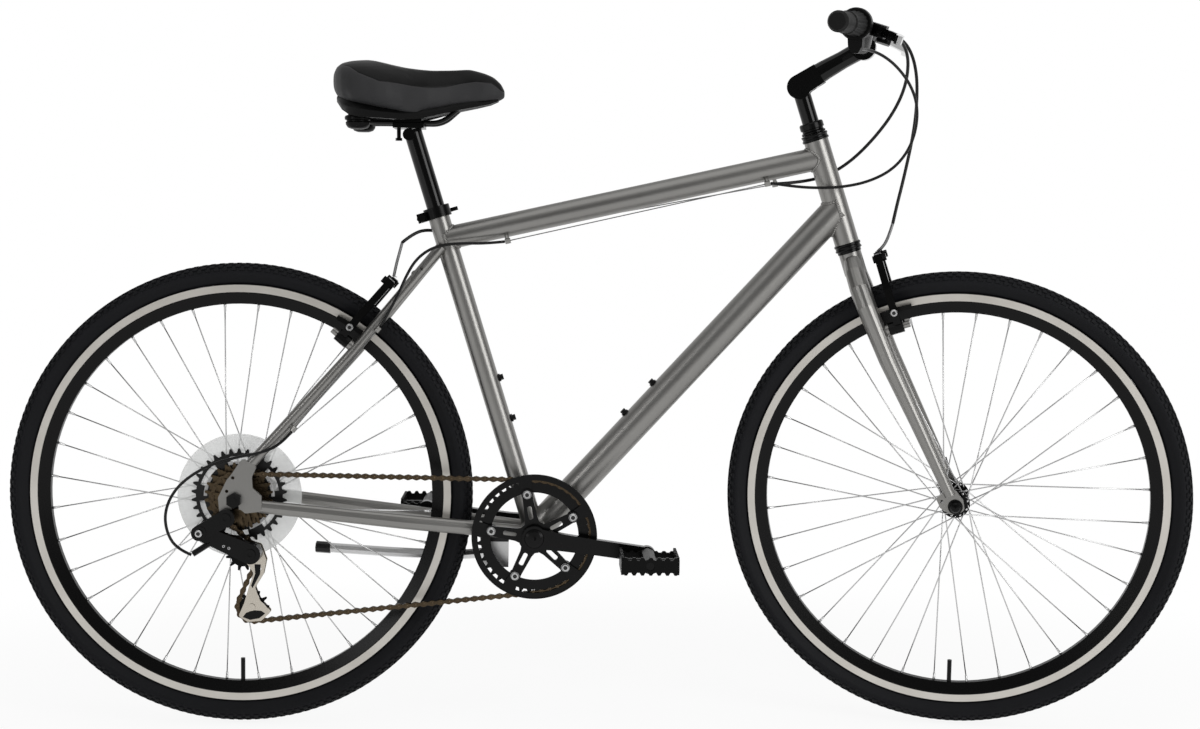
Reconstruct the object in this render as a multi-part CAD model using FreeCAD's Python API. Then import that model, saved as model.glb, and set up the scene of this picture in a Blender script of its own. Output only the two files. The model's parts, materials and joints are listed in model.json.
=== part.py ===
import FreeCAD, Part
import os
from math import asin, atan2, cos, hypot, pi, radians, sin, tan

# Hybrid bicycle with a welded aluminium frame, rigid fork, seven sprockets and rim brakes.
# Millimetres. +X is forward, +Y is the rider's left, +Z is up.
# The origin is on the ground, under the rear axle, in the frame's middle plane.

V = FreeCAD.Vector
X_AXIS = V(1, 0, 0)
Y_AXIS = V(0, 1, 0)
Z_AXIS = V(0, 0, 1)

# Driving dimensions: layout of the whole bicycle
wheelbase = 1086.0
tyre_radius = 349.0
bottom_bracket_drop = 55.0
bottom_bracket_setback = 443.5
seat_angle = 72.7
head_angle = 72.0
fork_offset = 45.0
rest_steer = -12.5

# Clearances
running_gap = 0.05
seat_gap = 0.2
weld_gap = 0.02

# Frame tubes: outer diameters and walls
head_tube_od = 37.0
head_tube_id = 34.0
head_tube_low = 423.0
head_tube_high = 584.0
top_tube_od = 34.9
down_tube_od = 44.4
seat_tube_od = 31.8
tube_wall = 1.7
seat_tube_top = 514.0
top_tube_on_seat = 464.4
top_tube_on_head = 557.5
down_tube_on_head = 476.3
shell_od = 40.0
shell_id = 34.8
shell_width = 68.0
dropout_spacing = 135.0
dropout_plate = 6.0

# Wheels
tyre_width = 38.0
rim_radius = 317.0
rim_width = 24.0
rim_bed_radius = 287.5
rim_bed_width = 10.0
brake_track = 13.0
spoke_count = 36
spoke_diameter = 2.0
spoke_bend_room = 0.9
flange_thickness = 3.0
front_flange_radius = 22.0
rear_flange_radius = 26.0
front_dropout_spacing = 100.0
fork_plate = 5.0
axle_radius = 4.5

# Drive: chain pitch, tooth counts and the plane the chain runs in
chain_pitch = 12.7
roller_diameter = 7.2
ring_teeth = 42
sprocket_teeth = [34, 24, 22, 20, 18, 16, 14]
driven_teeth = 18
pulley_teeth = 11
chain_line = -48.5
sprocket_step = 5.0
tooth_thickness = 1.9
crank_length = 170.0
crank_angle = -8.0
bolt_circle = 65.0
guard_radius = 94.0
spindle_radius = 8.5

# Seat
seatpost_od = 27.2
seatpost_length = 300.0
seatpost_head = 634.0

# Front end
steerer_od = 28.6
quill_od = 25.4
bar_od = 22.2
bar_clamp_od = 25.4
bar_half_width = 305.0

# Points and directions that everything else hangs on
rear_axle = V(0, 0, tyre_radius)
front_axle = V(wheelbase, 0, tyre_radius)
bb = V(bottom_bracket_setback, 0, tyre_radius - bottom_bracket_drop)
seat_dir = V(-cos(radians(seat_angle)), 0, sin(radians(seat_angle)))
head_dir = V(-cos(radians(head_angle)), 0, sin(radians(head_angle)))
head_fwd = V(sin(radians(head_angle)), 0, cos(radians(head_angle)))
fork_foot = front_axle - head_fwd * fork_offset


def on_seat(distance):
    """Point on the seat tube's axis, measured up from the bottom bracket."""
    return bb + seat_dir * distance


def on_fork(up, ahead, left=0.0):
    """Point measured along, ahead of and left of the steering axis, bars straight."""
    return fork_foot + head_dir * up + head_fwd * ahead + V(0, left, 0)


def steered(shape):
    """Turn a piece of the front end about the steering axis to its parked angle."""
    turned_shape = shape.copy()
    turned_shape.rotate(fork_foot, head_dir, rest_steer)
    return turned_shape


# Basic solids


def rod(start, end, radius):
    return Part.makeCylinder(radius, (end - start).Length, start, end - start)


def tube(start, end, outer_radius, inner_radius):
    return rod(start, end, outer_radius).cut(rod(start, end, inner_radius))


def polygon_wire(centre, axis, radius, sides):
    """Regular polygon round an axis."""
    side = square_to(axis)
    other = unit(axis).cross(side)
    corners = []
    for k in range(sides):
        angle = 2 * pi * k / sides
        corners.append(centre + side * (radius * cos(angle)) + other * (radius * sin(angle)))
    return Part.makePolygon(corners + [corners[0]])


def prism(start, end, radius, sides=6):
    """Bar with a regular polygon as its section; radius is out to the corners."""
    return Part.Face(polygon_wire(start, end - start, radius, sides)).extrude(end - start)


def unit(vector):
    return vector * (1.0 / vector.Length)


def square_to(axis):
    """Any unit vector at right angles to the axis."""
    helper = Y_AXIS if abs(axis.y) < 0.9 * axis.Length else X_AXIS
    return unit(axis.cross(helper))


def turned(base, axis, profile):
    """Solid of revolution; profile is a closed outline of (distance along axis, radius)."""
    side = square_to(axis)
    points = [base + axis * s + side * r for s, r in profile]
    face = Part.Face(Part.makePolygon(points + [points[0]]))
    return face.revolve(base, axis, 360)


def ring(base, axis, start, end, outer_radius, inner_radius):
    return tube(base + axis * start, base + axis * end, outer_radius, inner_radius)


def rounded_wire(points, radii, closed):
    """Straight runs joined by tangent arcs; radii has one value for each point."""
    count = len(points)
    edges = []
    last = points[0]
    if closed:
        last = None
    first = None
    for i in range(count):
        point = points[i]
        if not closed and i in (0, count - 1):
            if i == count - 1:
                edges.append(Part.LineSegment(last, point).toShape())
            continue
        into = unit(point - points[i - 1])
        out = unit(points[(i + 1) % count] - point)
        turn = into.getAngle(out)
        if radii[i] <= 0 or turn < 1e-4:
            start = end = point
        else:
            reach = radii[i] * tan(turn / 2)
            start = point - into * reach
            end = point + out * reach
        if last is None:
            first = start
        elif (start - last).Length > 1e-6:
            edges.append(Part.LineSegment(last, start).toShape())
        if start is not end:
            inward = unit(out - into)
            middle = point + inward * (radii[i] / cos(turn / 2) - radii[i])
            edges.append(Part.Arc(start, middle, end).toShape())
        last = end
    if closed and (first - last).Length > 1e-6:
        edges.append(Part.LineSegment(last, first).toShape())
    return Part.Wire(edges)


def plate(outline, origin, along, across, normal, low, high, radius=0.0):
    """Flat plate; the outline is given in (along, across), the thickness along normal."""
    points = [origin + along * x + across * y + normal * low for x, y in outline]
    wire = rounded_wire(points, [radius] * len(points), True)
    return Part.Face(wire).extrude(normal * (high - low))


def easy_radii(points):
    """Bend radii as large as each pair of runs allows."""
    radii = [0.0] * len(points)
    for i in range(1, len(points) - 1):
        into = points[i] - points[i - 1]
        out = points[i + 1] - points[i]
        shorter = min(into.Length, out.Length)
        radii[i] = 0.45 * shorter / tan(max(into.getAngle(out), 1e-3) / 2)
    return radii


def bent_rod(points, radius, radii=None, sides=0):
    """Rod along straight runs and tangent arcs, round unless it has a number of sides."""
    wire = rounded_wire(points, radii or easy_radii(points), False)
    start = points[0]
    section = circle_wire(start, points[1] - start, radius)
    if sides:
        section = polygon_wire(start, points[1] - start, radius, sides)
    return wire.makePipeShell([section], True, False)


def loft(sections):
    return Part.makeLoft(sections, True, True)


def circle_wire(centre, normal, radius):
    return Part.Wire(Part.Circle(centre, normal, radius).toShape())


def oval_wire(centre, normal, tall, wide, sides=14):
    """Many-sided oval whose tall axis lies in the frame's plane."""
    upright = unit(normal.cross(Y_AXIS))
    sideways = unit(normal).cross(upright)
    corners = []
    for k in range(sides):
        angle = 2 * pi * (k + 0.5) / sides
        corners.append(centre + upright * (tall / 2 * cos(angle)) + sideways * (wide / 2 * sin(angle)))
    return Part.makePolygon(corners + [corners[0]])


def fused(shapes):
    whole = shapes[0]
    for shape in shapes[1:]:
        whole = whole.fuse(shape)
    return whole.removeSplitter()


def group(shapes):
    return Part.makeCompound(shapes)


def mirrored(shape):
    """The same piece on the other side of the frame's middle plane."""
    return shape.mirror(V(0, 0, 0), Y_AXIS)


parts = {}

# Cable routes: points chosen by hand, from the controls to the brakes and the derailleur

housing_radius = 2.5
shift_housing_radius = 2.2
wire_radius = 0.8
noodle_radius = 2.3
cable_sides = 6

head_top = on_fork(head_tube_high, 0)
top_tube_rear = on_seat(top_tube_on_seat)
top_tube_front = on_fork(top_tube_on_head, 0)
top_tube_dir = unit(top_tube_front - top_tube_rear)
top_tube_up = V(-top_tube_dir.z, 0, top_tube_dir.x)


def by_head(ahead, left, up):
    return head_top + V(ahead, left, up)


def by_seat(ahead, left, up):
    return top_tube_rear + V(ahead, left, up)


def by_axle(ahead, left, up):
    return rear_axle + V(ahead, left, up)


def from_front(along, left, up):
    """Point beside the top tube, measured from its front end."""
    return top_tube_front + top_tube_dir * along + Y_AXIS * left + top_tube_up * up


def from_rear(along, left, up):
    """Point beside the top tube, measured from its rear end."""
    return top_tube_rear + top_tube_dir * along + Y_AXIS * left + top_tube_up * up


shift_front = [by_head(31, -179, 120.8), by_head(42.3, -150, 123.5), by_head(58.3, -126, 124),
               by_head(79.3, -109, 118.5), by_head(101.3, -98, 104.5), by_head(123.3, -88, 80.5),
               by_head(137.3, -77, 50.5), by_head(138.3, -67, 15.5), by_head(128.3, -58, -17.5),
               by_head(106.3, -50, -44.5), by_head(73.3, -43, -61.5), from_front(18.6, -35, -49.6),
               from_front(-19.9, -28, -43), from_front(-56.4, -21.5, -32.2), from_front(-84.7, -17, -21.1)]
rear_brake_front = [by_head(75.9, -143.6, 148.4), by_head(85.3, -119, 151), by_head(98.3, -95, 149.5),
                    by_head(116.3, -72, 138.5), by_head(128.3, -49, 117.5), by_head(129.3, -24, 81.5),
                    by_head(116.3, 0, 43.5), by_head(91.3, 17, 6.5), by_head(59.3, 25, -27.5),
                    from_front(10.1, 27, -28.2), from_front(-32.3, 22, -29.9), from_front(-70, 15, -24.5)]
front_brake_front = [by_head(123.4, 84, 163.9), by_head(128.3, 62, 162.5), by_head(139.3, 46, 155.5),
                     by_head(150.3, 36, 133.5), by_head(155.3, 26, 103.5), by_head(154.3, 14, 69.5),
                     by_head(150.3, 2, 36.5), by_head(143.3, -11, 2.5), by_head(134.3, -24, -31.5),
                     by_head(125.3, -35, -64.5), by_head(116.3, -43, -96.5), by_head(110.3, -47, -122.5)]
front_noodle = [by_head(110.3, -47, -122.5), by_head(104.3, -49, -142.5), by_head(96.3, -47, -158.5),
                by_head(90.8, -36, -164.5)]
front_link_wire = [by_head(90.8, -36, -164.5), by_head(102.3, 21, -161.5)]
shift_rear = [from_rear(86.6, -17, -23.1), by_seat(61.6, -23, -6.4), by_seat(30.6, -27, -6.4),
              by_seat(0.6, -29, -8.4), by_seat(-23.4, -33, -16.4), by_seat(-42.4, -38, -32.4),
              by_seat(-55.4, -43, -55.4), by_seat(-66.4, -48, -82.4), by_seat(-80.4, -50, -109.4),
              by_seat(-93.4, -48, -131.9)]
derailleur_loop = [by_axle(84, -67, 102), by_axle(70, -71, 85), by_axle(45, -75, 72), by_axle(12, -78, 66),
                   by_axle(-24, -80, 57), by_axle(-59, -81, 40), by_axle(-87, -81, 15),
                   by_axle(-101, -81, -17), by_axle(-98, -81, -48), by_axle(-83, -81, -72),
                   by_axle(-62, -80, -81)]
rear_brake_rear = [from_rear(23.2, 21, -8.7), by_seat(-0.4, 21, 7.6), by_seat(-25.4, 15, 13.6),
                   by_seat(-47.4, 6, 8.6), by_seat(-64.4, -6, -6.4)]
rear_noodle = [by_seat(-64.4, -6, -6.4), by_seat(-68.4, -13, -23.4), by_seat(-72.4, -21, -40.4),
               by_seat(-74.9, -29, -56.4)]
rear_link_wire = [by_seat(-74.9, -29, -56.4), by_seat(-75.8, 31, -59.4)]


def cable_stop(end, towards, tube_start, tube_end, buried):
    """Seat for a housing end on a rib from the tube; the bare wire runs on through it."""
    along = unit(towards - end)
    axis = unit(tube_end - tube_start)
    middle = end + along * 4.5
    foot = tube_start + axis * (middle - tube_start).dot(axis)
    barrel = prism(end + along * 0.7, end + along * 9, 4.2, 8)
    rib = prism(foot + unit(middle - foot) * buried, middle, 3.0)
    return fused([barrel, rib]).cut(prism(end - along, end + along * 10, wire_radius + 0.4))


# Main frame: tubes are mitred against each other, so no two of them overlap


def head_tube_envelope():
    reach = 5.0
    return rod(on_fork(head_tube_low - reach, 0), on_fork(head_tube_high + reach, 0),
               head_tube_od / 2 + weld_gap)


def seat_tube_envelope():
    return rod(bb, on_seat(seat_tube_top), seat_tube_od / 2 + weld_gap)


def shell_envelope():
    half = shell_width / 2
    return rod(bb - Y_AXIS * half, bb + Y_AXIS * half, shell_od / 2 + weld_gap)


def round_tube(start, end, od):
    return tube(start, end, od / 2, od / 2 - tube_wall)


def make_main_tubes():
    top_start = top_tube_rear
    top_end = top_tube_front
    down_end = on_fork(down_tube_on_head, 0)
    parts["head_tube"] = tube(on_fork(head_tube_low, 0), on_fork(head_tube_high, 0),
                              head_tube_od / 2, head_tube_id / 2)
    top = round_tube(top_start, top_end, top_tube_od)
    top = top.cut(head_tube_envelope()).cut(seat_tube_envelope())
    buried = top_tube_od / 2 - 0.8
    stops = [cable_stop(shift_front[-1], shift_rear[0], top_start, top_end, buried),
             cable_stop(shift_rear[0], shift_front[-1], top_start, top_end, buried),
             cable_stop(rear_brake_front[-1], rear_brake_rear[0], top_start, top_end, buried),
             cable_stop(rear_brake_rear[0], rear_brake_front[-1], top_start, top_end, buried)]
    parts["top_tube"] = fused([top] + stops)
    down = round_tube(bb, down_end, down_tube_od)
    top_envelope = rod(top_start, top_end, top_tube_od / 2 + weld_gap)
    down = down.cut(head_tube_envelope()).cut(shell_envelope()).cut(top_envelope)
    seat_bore = seatpost_od / 2 + running_gap
    seat = tube(bb, on_seat(seat_tube_top), seat_tube_od / 2, seat_bore)
    down_envelope = rod(bb, down_end, down_tube_od / 2 + weld_gap)
    parts["seat_tube"] = seat.cut(shell_envelope()).cut(down_envelope)
    parts["down_tube"] = down
    half = shell_width / 2
    parts["bottom_bracket_shell"] = ring(bb, Y_AXIS, -half, half, shell_od / 2, shell_id / 2)


# Rear triangle

stay_low = V(24, 66.0, 403.0)
stay_knee = V(76, 60.0, 457.0)
stay_boss = V(170, 46.0, 566.0)
stay_neck = V(238, 32.0, 651.0)
stay_top = V(300, 15.0, 725.0)
seat_stay_od = 16.0
stay_bend_radius = 150.0
chain_stay_tall = 22.0
chain_stay_wide = 17.0
boss_stud_radius = 5.0
boss_base_radius = 8.0
brake_up = 283.0
brake_left = 42.0
brake_stud_end = 58.0
arm_start = 26.0
arm_end = 48.0
pad_gap = 2.6
pad_half_height = 3.4
pad_half_turn = 4.9
pad_radius = 306.4
eyelet_radius = 2.5
rack_eyelet = V(272, 30.0, 693.0)

stay_dir = unit(V(stay_boss.x - stay_knee.x, 0, stay_boss.z - stay_knee.z))
stay_back = V(-stay_dir.z, 0, stay_dir.x)


def on_stay(up, behind, left=0.0):
    """Point measured from the rear axle along and behind the seat stays."""
    return rear_axle + stay_dir * up + stay_back * behind + V(0, left, 0)


def brake_boss(place, foot):
    """Stud that a brake arm turns on: a wide foot on the tube and a thin stud."""
    base = rod(place(brake_up, foot, brake_left), place(brake_up, arm_start - seat_gap, brake_left),
               boss_base_radius)
    stud = rod(place(brake_up, foot, brake_left), place(brake_up, brake_stud_end, brake_left),
               boss_stud_radius)
    return base.fuse(stud)


def left_dropout():
    """Plate with the axle slot, welded to both stays."""
    inner = dropout_spacing / 2
    outline = [(12, 62), (33, 50), (26, 34), (27, 18), (40, 6), (40, -17), (16, -20), (7, -12),
               (-7, -30), (-22, -18), (-24, 3), (-11, 30), (-5, 37)]
    body = plate(outline, rear_axle, X_AXIS, Z_AXIS, Y_AXIS, inner, inner + dropout_plate, 5.0)
    slot_outline = [(-5.2, 5.2), (5.2, 5.2), (9, -40), (-3, -40)]
    slot = plate(slot_outline, rear_axle, X_AXIS, Z_AXIS, Y_AXIS, inner - 1, inner + dropout_plate + 1)
    eyelet = rack_hole(V(-11, inner, tyre_radius + 13))
    upper_hole = rack_hole(V(-2, inner, tyre_radius + 33))
    return body.cut(slot).cut(eyelet).cut(upper_hole)


def rack_hole(place):
    return rod(place - Y_AXIS, place + Y_AXIS * (dropout_plate + 1), eyelet_radius)


def left_chain_stay():
    stations = [(V(425, 27, 296.0), 22.0, 15.0), (V(250, 46, 314.0), 22.5, 16.0),
                (V(36, 66.0, 338.5), 19.0, 12.0)]
    wires = []
    for i, (centre, tall, wide) in enumerate(stations):
        before = stations[max(i - 1, 0)][0]
        after = stations[min(i + 1, len(stations) - 1)][0]
        wires.append(oval_wire(centre, after - before, tall, wide, 18))
    cup_room = rod(bb, bb + Y_AXIS * (shell_width / 2 + 6), shell_od / 2 + 1.0)
    stay = loft(wires).cut(shell_envelope()).cut(cup_room)
    return fused([stay, left_dropout()])


def left_seat_stay():
    path = [stay_low, stay_boss, stay_top]
    stay = bent_rod(path, seat_stay_od / 2, [0, stay_bend_radius, 0])
    stay = fused([stay, brake_boss(on_stay, stay_boss_behind())])
    insert = rod(rack_eyelet - Y_AXIS * 12, rack_eyelet + Y_AXIS * 12, eyelet_radius)
    return stay.cut(seat_tube_envelope()).cut(insert)


def stay_boss_behind():
    """How far behind the axle line the seat stay's centre lies at the brake boss."""
    offset = V(stay_boss.x, 0, stay_boss.z) - rear_axle
    return offset.dot(stay_back)


def make_rear_triangle():
    chain_left = left_chain_stay()
    seat_left = left_seat_stay().cut(chain_left)
    parts["chain_stays"] = group([chain_left, mirrored(chain_left)])
    bridge_at = V(262, 0, 684.0)
    reach = 26.0
    bridge = rod(bridge_at - Y_AXIS * reach, bridge_at + Y_AXIS * reach, 6.0)
    bridge = bridge.cut(seat_left).cut(mirrored(seat_left)).cut(seat_tube_envelope())
    bridge = max(bridge.Solids, key=lambda solid: solid.Volume)
    right_low, right_boss, right_top = [V(p.x, -p.y, p.z) for p in (stay_low, stay_boss, stay_top)]
    stops = [cable_stop(shift_rear[-1], derailleur_loop[0], right_boss, right_top, 2.0),
             cable_stop(derailleur_loop[0], shift_rear[-1], right_low, right_boss, 2.0)]
    seat_right = fused([mirrored(seat_left)] + stops)
    parts["seat_stays"] = group([seat_left, seat_right, bridge])


# Wheels


# Half of the tyre's section: share of the half width, share of the height above the rim
tyre_half_section = [(0.45, 0.0), (0.78, 0.30), (0.93, 0.43), (1.0, 0.57), (0.97, 0.70), (0.86, 0.82),
                     (0.66, 0.915), (0.37, 0.98), (0.0, 1.0)]


def tyre_solid(centre):
    """Casing that rises from between the rim's edges to a round crown."""
    foot = rim_radius + weld_gap
    height = tyre_radius - foot
    half = [(tyre_width / 2 * out, foot + height * up) for out, up in tyre_half_section]
    return turned(centre, Y_AXIS, half + [(-out, up) for out, up in reversed(half[:-1])])


def rim_solid(centre):
    """Box rim with flat brake tracks and sloping sides, and the valve at its lowest point."""
    half = rim_width / 2
    bed = rim_bed_width / 2
    track_low = rim_radius - brake_track
    profile = [(-half, rim_radius), (half, rim_radius), (half, track_low), (bed, rim_bed_radius),
               (-bed, rim_bed_radius), (-half, track_low)]
    valve_low = centre - Z_AXIS * (rim_bed_radius - 34.0)
    valve_high = centre - Z_AXIS * (rim_bed_radius - seat_gap)
    return group([turned(centre, Y_AXIS, profile), prism(valve_low, valve_high, 3.4, 8)])


def spoke_set(centre, flange_radius, left_flange, right_flange):
    """Three-cross lacing: each spoke leaves the flange a sixth of a turn from its rim hole."""
    bars = []
    for i in range(spoke_count):
        rim_angle = 2 * pi * (i + 0.5) / spoke_count
        flange = left_flange if i % 2 else right_flange
        outside = 1 if flange > 0 else -1
        lead = 1 if i % 4 < 2 else -1
        hub_angle = rim_angle - lead * pi / 3
        stand_off = (flange_thickness + spoke_diameter) / 2 + spoke_bend_room
        y = flange + outside * lead * stand_off
        start = centre + V((flange_radius - 3.0) * cos(hub_angle), y, (flange_radius - 3.0) * sin(hub_angle))
        reach = rim_bed_radius - seat_gap
        end = centre + V(reach * cos(rim_angle), outside * 2.0, reach * sin(rim_angle))
        bars.append(prism(start, end, spoke_diameter / 2, 5))
    return group(bars)


def hub_solid(centre, flange_radius, left_flange, right_flange, left_end, right_end, body_radius, seat):
    """Two flanges on a barrel bored for the axle; seat is the length right of the right flange."""
    half = flange_thickness / 2
    bore = axle_radius + running_gap
    profile = [(right_end, bore), (right_end, 9.0), (right_flange - half - seat - 2, 11.0),
               (right_flange - half - seat, body_radius), (right_flange - half, body_radius),
               (right_flange - half, flange_radius),
               (right_flange + half, flange_radius), (right_flange + half, body_radius),
               (left_flange - half, body_radius), (left_flange - half, flange_radius),
               (left_flange + half, flange_radius), (left_flange + half, body_radius),
               (left_flange + half + 6, 11.0), (left_end, 9.0), (left_end, bore)]
    return turned(centre, Y_AXIS, profile)


front_flange = 31.0
front_hub_end = 45.0
rear_left_flange = 33.0
rear_right_flange = -17.0
rear_hub_left_end = 60.0
rear_hub_right_end = -62.0
hub_body_radius = 15.0
protector_radius = 93.0
protector_plane = -24.2
protector_thickness = 1.4
freewheel_seat = 40.0
freewheel_body_radius = 23.0


def make_wheels():
    parts["rear_tyre"] = tyre_solid(rear_axle)
    parts["rear_rim"] = rim_solid(rear_axle)
    parts["rear_spokes"] = spoke_set(rear_axle, rear_flange_radius, rear_left_flange, rear_right_flange)
    parts["rear_hub"] = hub_solid(rear_axle, rear_flange_radius, rear_left_flange, rear_right_flange,
                                  rear_hub_left_end, rear_hub_right_end, hub_body_radius, freewheel_seat)
    inner = hub_body_radius + weld_gap
    high, low = protector_plane, protector_plane - protector_thickness
    disc = [(high, inner), (high, protector_radius), (low, protector_radius), (low, inner)]
    parts["spoke_protector"] = turned(rear_axle, Y_AXIS, disc)
    parts["front_tyre"] = steered(tyre_solid(front_axle))
    parts["front_rim"] = steered(rim_solid(front_axle))
    parts["front_spokes"] = steered(spoke_set(front_axle, front_flange_radius, front_flange, -front_flange))
    parts["front_hub"] = steered(hub_solid(front_axle, front_flange_radius, front_flange, -front_flange,
                                           front_hub_end, -front_hub_end, hub_body_radius - 1, 1.0))


def make_axles():
    """Axles with their cones, lock nuts and end nuts; they stay with the frame and the fork."""
    inner = dropout_spacing / 2
    outer = inner + dropout_plate
    rear = rod(rear_axle - Y_AXIS * (outer + 10), rear_axle + Y_AXIS * (outer + 10), axle_radius)
    pieces = [rear]
    for side in (1, -1):
        hub_end = rear_hub_left_end if side > 0 else -rear_hub_right_end
        bore = rod(rear_axle, rear_axle + Y_AXIS * side * 90, axle_radius)
        for low, high, radius in [(hub_end + seat_gap, inner, 9.0), (outer, outer + 9, 11.5)]:
            nut = prism(rear_axle + Y_AXIS * side * low, rear_axle + Y_AXIS * side * high, radius)
            pieces.append(nut.cut(bore))
    parts["rear_axle"] = group(pieces)
    inner = front_dropout_spacing / 2
    outer = inner + fork_plate
    front = [rod(front_axle - Y_AXIS * (outer + 4), front_axle + Y_AXIS * (outer + 4), axle_radius)]
    for side in (1, -1):
        bore = rod(front_axle, front_axle + Y_AXIS * side * 90, axle_radius)
        cone_start = front_axle + Y_AXIS * side * (front_hub_end + seat_gap)
        cone = prism(cone_start, front_axle + Y_AXIS * side * inner, 9.0)
        front.append(cone.cut(bore))
    clamp_nut = turned(front_axle, Y_AXIS * -1, [(outer, axle_radius), (outer, 11.0), (outer + 2, 11.0),
                                                 (outer + 2.5, 8.6), (outer + 8, 8.0), (outer + 11, 5.8),
                                                 (outer + 12.4, 0), (outer + 4, 0),
                                                 (outer + 4, axle_radius)])
    cam_seat = turned(front_axle, Y_AXIS, [(outer, axle_radius), (outer, 11.5), (outer + 6, 11.5),
                                           (outer + 6, 0), (outer + 4, 0), (outer + 4, axle_radius)])
    ear = plate([(-8, -5), (8, -5), (8, 5), (-8, 5)], front_axle, head_dir, head_fwd, Y_AXIS,
                outer + 6, outer + 19.5)
    slot = plate([(-9, -3), (9, -3), (9, 3), (-9, 3)], front_axle, head_dir, head_fwd, Y_AXIS,
                 outer + 6, outer + 20)
    pin = rod(hub_lever_pivot() - head_fwd * 5, hub_lever_pivot() + head_fwd * 5, 2.0)
    cam_seat = fused([cam_seat, ear.cut(slot), pin])
    parts["front_axle"] = steered(group(front + [clamp_nut, cam_seat]))
    parts["front_hub_lever"] = steered(hub_lever())


def hub_lever_pivot():
    return front_axle + Y_AXIS * (front_dropout_spacing / 2 + fork_plate + 13.5)


def hub_lever():
    """Cam lever of the front wheel, folded up along the fork blade."""
    pivot = hub_lever_pivot()
    eye = rod(pivot - head_fwd * 2.7, pivot + head_fwd * 2.7, 5.0)
    blade_outline = [(3, -3.5), (20, 4), (48, 6), (54, 2), (48, -1), (22, -4), (5, -5)]
    blade = plate(blade_outline, pivot + head_fwd * -2.7, head_dir, Y_AXIS, head_fwd, 0, 5.4)
    bore = rod(pivot - head_fwd * 4, pivot + head_fwd * 4, 2.0 + running_gap)
    return fused([eye, blade]).cut(bore)


# Fork and headset

crown_low = 372.0
crown_high = 411.0
steerer_top = 606.0
headset_top = 613.0
cup_height = 12.0


def fork_blade():
    """Left blade: leaves the crown sideways, then runs down in a long taper."""
    stations = [(396, 0.0, 7.0, 12.5), (378, 0.5, 22.0, 14.8), (354, 1.5, 37.0, 15.4),
                (326, 3.5, 45.0, 15.2), (240, 11.5, 48.0, 13.6), (140, 26.0, 50.5, 11.0),
                (18, 42.5, 52.3, 8.6)]
    wires = []
    for i, (up, ahead, left, radius) in enumerate(stations):
        before = on_fork(*stations[max(i - 1, 0)][:3])
        after = on_fork(*stations[min(i + 1, len(stations) - 1)][:3])
        wires.append(oval_wire(on_fork(up, ahead, left), after - before, 2 * radius, 2 * radius, 22))
    return loft(wires)


def fork_end():
    """Left fork end: a plate with an open axle slot and a mudguard eyelet."""
    inner = front_dropout_spacing / 2
    outline = [(24, -8), (24, 7), (6, 14), (-8, 12), (-13, 0), (-8, -12), (4, -22), (20, -24), (24, -14)]
    body = plate(outline, front_axle, head_dir, head_fwd, Y_AXIS, inner, inner + fork_plate, 4.0)
    slot = plate([(5, -5), (5, 5), (-30, 5), (-30, -5)], front_axle, head_dir, head_fwd, Y_AXIS,
                 inner - 1, inner + fork_plate + 1)
    eye = front_axle + head_dir * 13 - head_fwd * 17
    hole = rod(eye, eye + Y_AXIS * (inner + fork_plate + 1), eyelet_radius)
    return body.cut(slot).cut(hole)


def make_fork():
    steerer = rod(on_fork(crown_low, 0), on_fork(steerer_top, 0), steerer_od / 2)
    crown = rod(on_fork(crown_low + 3, 0), on_fork(crown_high - 3, 0), 17.0)
    halves = []
    for left in (True, False):
        half = fused([fork_blade(), fork_end(), brake_boss(on_fork, 8.0)])
        halves.append(half if left else mirrored(half))
    body = fused([crown, steerer] + halves)
    bore = rod(on_fork(crown_low + 20, 0), on_fork(steerer_top + 1, 0), quill_od / 2 + running_gap)
    inner = front_dropout_spacing / 2
    hub_space = rod(front_axle - Y_AXIS * inner, front_axle + Y_AXIS * inner, 40.0)
    parts["fork"] = steered(body.cut(bore).cut(hub_space))


def make_headset():
    """Pressed cups stay with the frame; the race and the nuts turn with the fork."""
    bore = steerer_od / 2 + running_gap
    skirt = head_tube_id / 2 - weld_gap
    low = on_fork(head_tube_low, 0)
    high = on_fork(head_tube_high, 0)
    down = head_dir * -1
    cup = [(-9, bore), (-9, skirt), (0, skirt), (0, 18.9), (1.2, 20.4), (3.4, 20.4), (4.6, 19.2),
           (cup_height - 5, 19.2), (cup_height - 3.6, 20.2), (cup_height - 1.8, 20.2),
           (cup_height - 1, 19.0), (cup_height - 1, bore)]
    cups = [turned(low, down, cup), turned(high, head_dir, cup)]
    half = shell_width / 2
    thread = shell_id / 2 - weld_gap
    spindle_bore = spindle_radius + running_gap
    for side in (1, -1):
        bearing_cup = [(half - 20, spindle_bore), (half - 20, thread), (half, thread), (half, 20.5),
                       (half + 3.5, 20.5), (half + 3.5, spindle_bore)]
        cups.append(turned(bb, Y_AXIS * side, bearing_cup))
    parts["bearing_cups"] = group(cups)
    race = ring(low, down, cup_height - 1 + seat_gap, head_tube_low - crown_high + 3, 18.0, bore)
    nut_low = cup_height - 1 + seat_gap
    nut_top = headset_top - head_tube_high
    stack = [(nut_low, bore), (nut_low, 17.2), (nut_low + 1.2, 18.4), (nut_low + 3, 18.4),
             (nut_low + 4, 17.0), (nut_low + 5, 16.2), (nut_low + 7, 16.2), (nut_low + 8, 18.2),
             (nut_top - 2.4, 18.2), (nut_top - 0.8, 17.4), (nut_top, 16.0),
             (nut_top, quill_od / 2 + running_gap), (steerer_top - head_tube_high + seat_gap,
                                                     quill_od / 2 + running_gap),
             (steerer_top - head_tube_high + seat_gap, bore)]
    parts["headset_nuts"] = steered(group([race, turned(high, head_dir, stack)]))


# Stem, handlebar and controls

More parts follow.
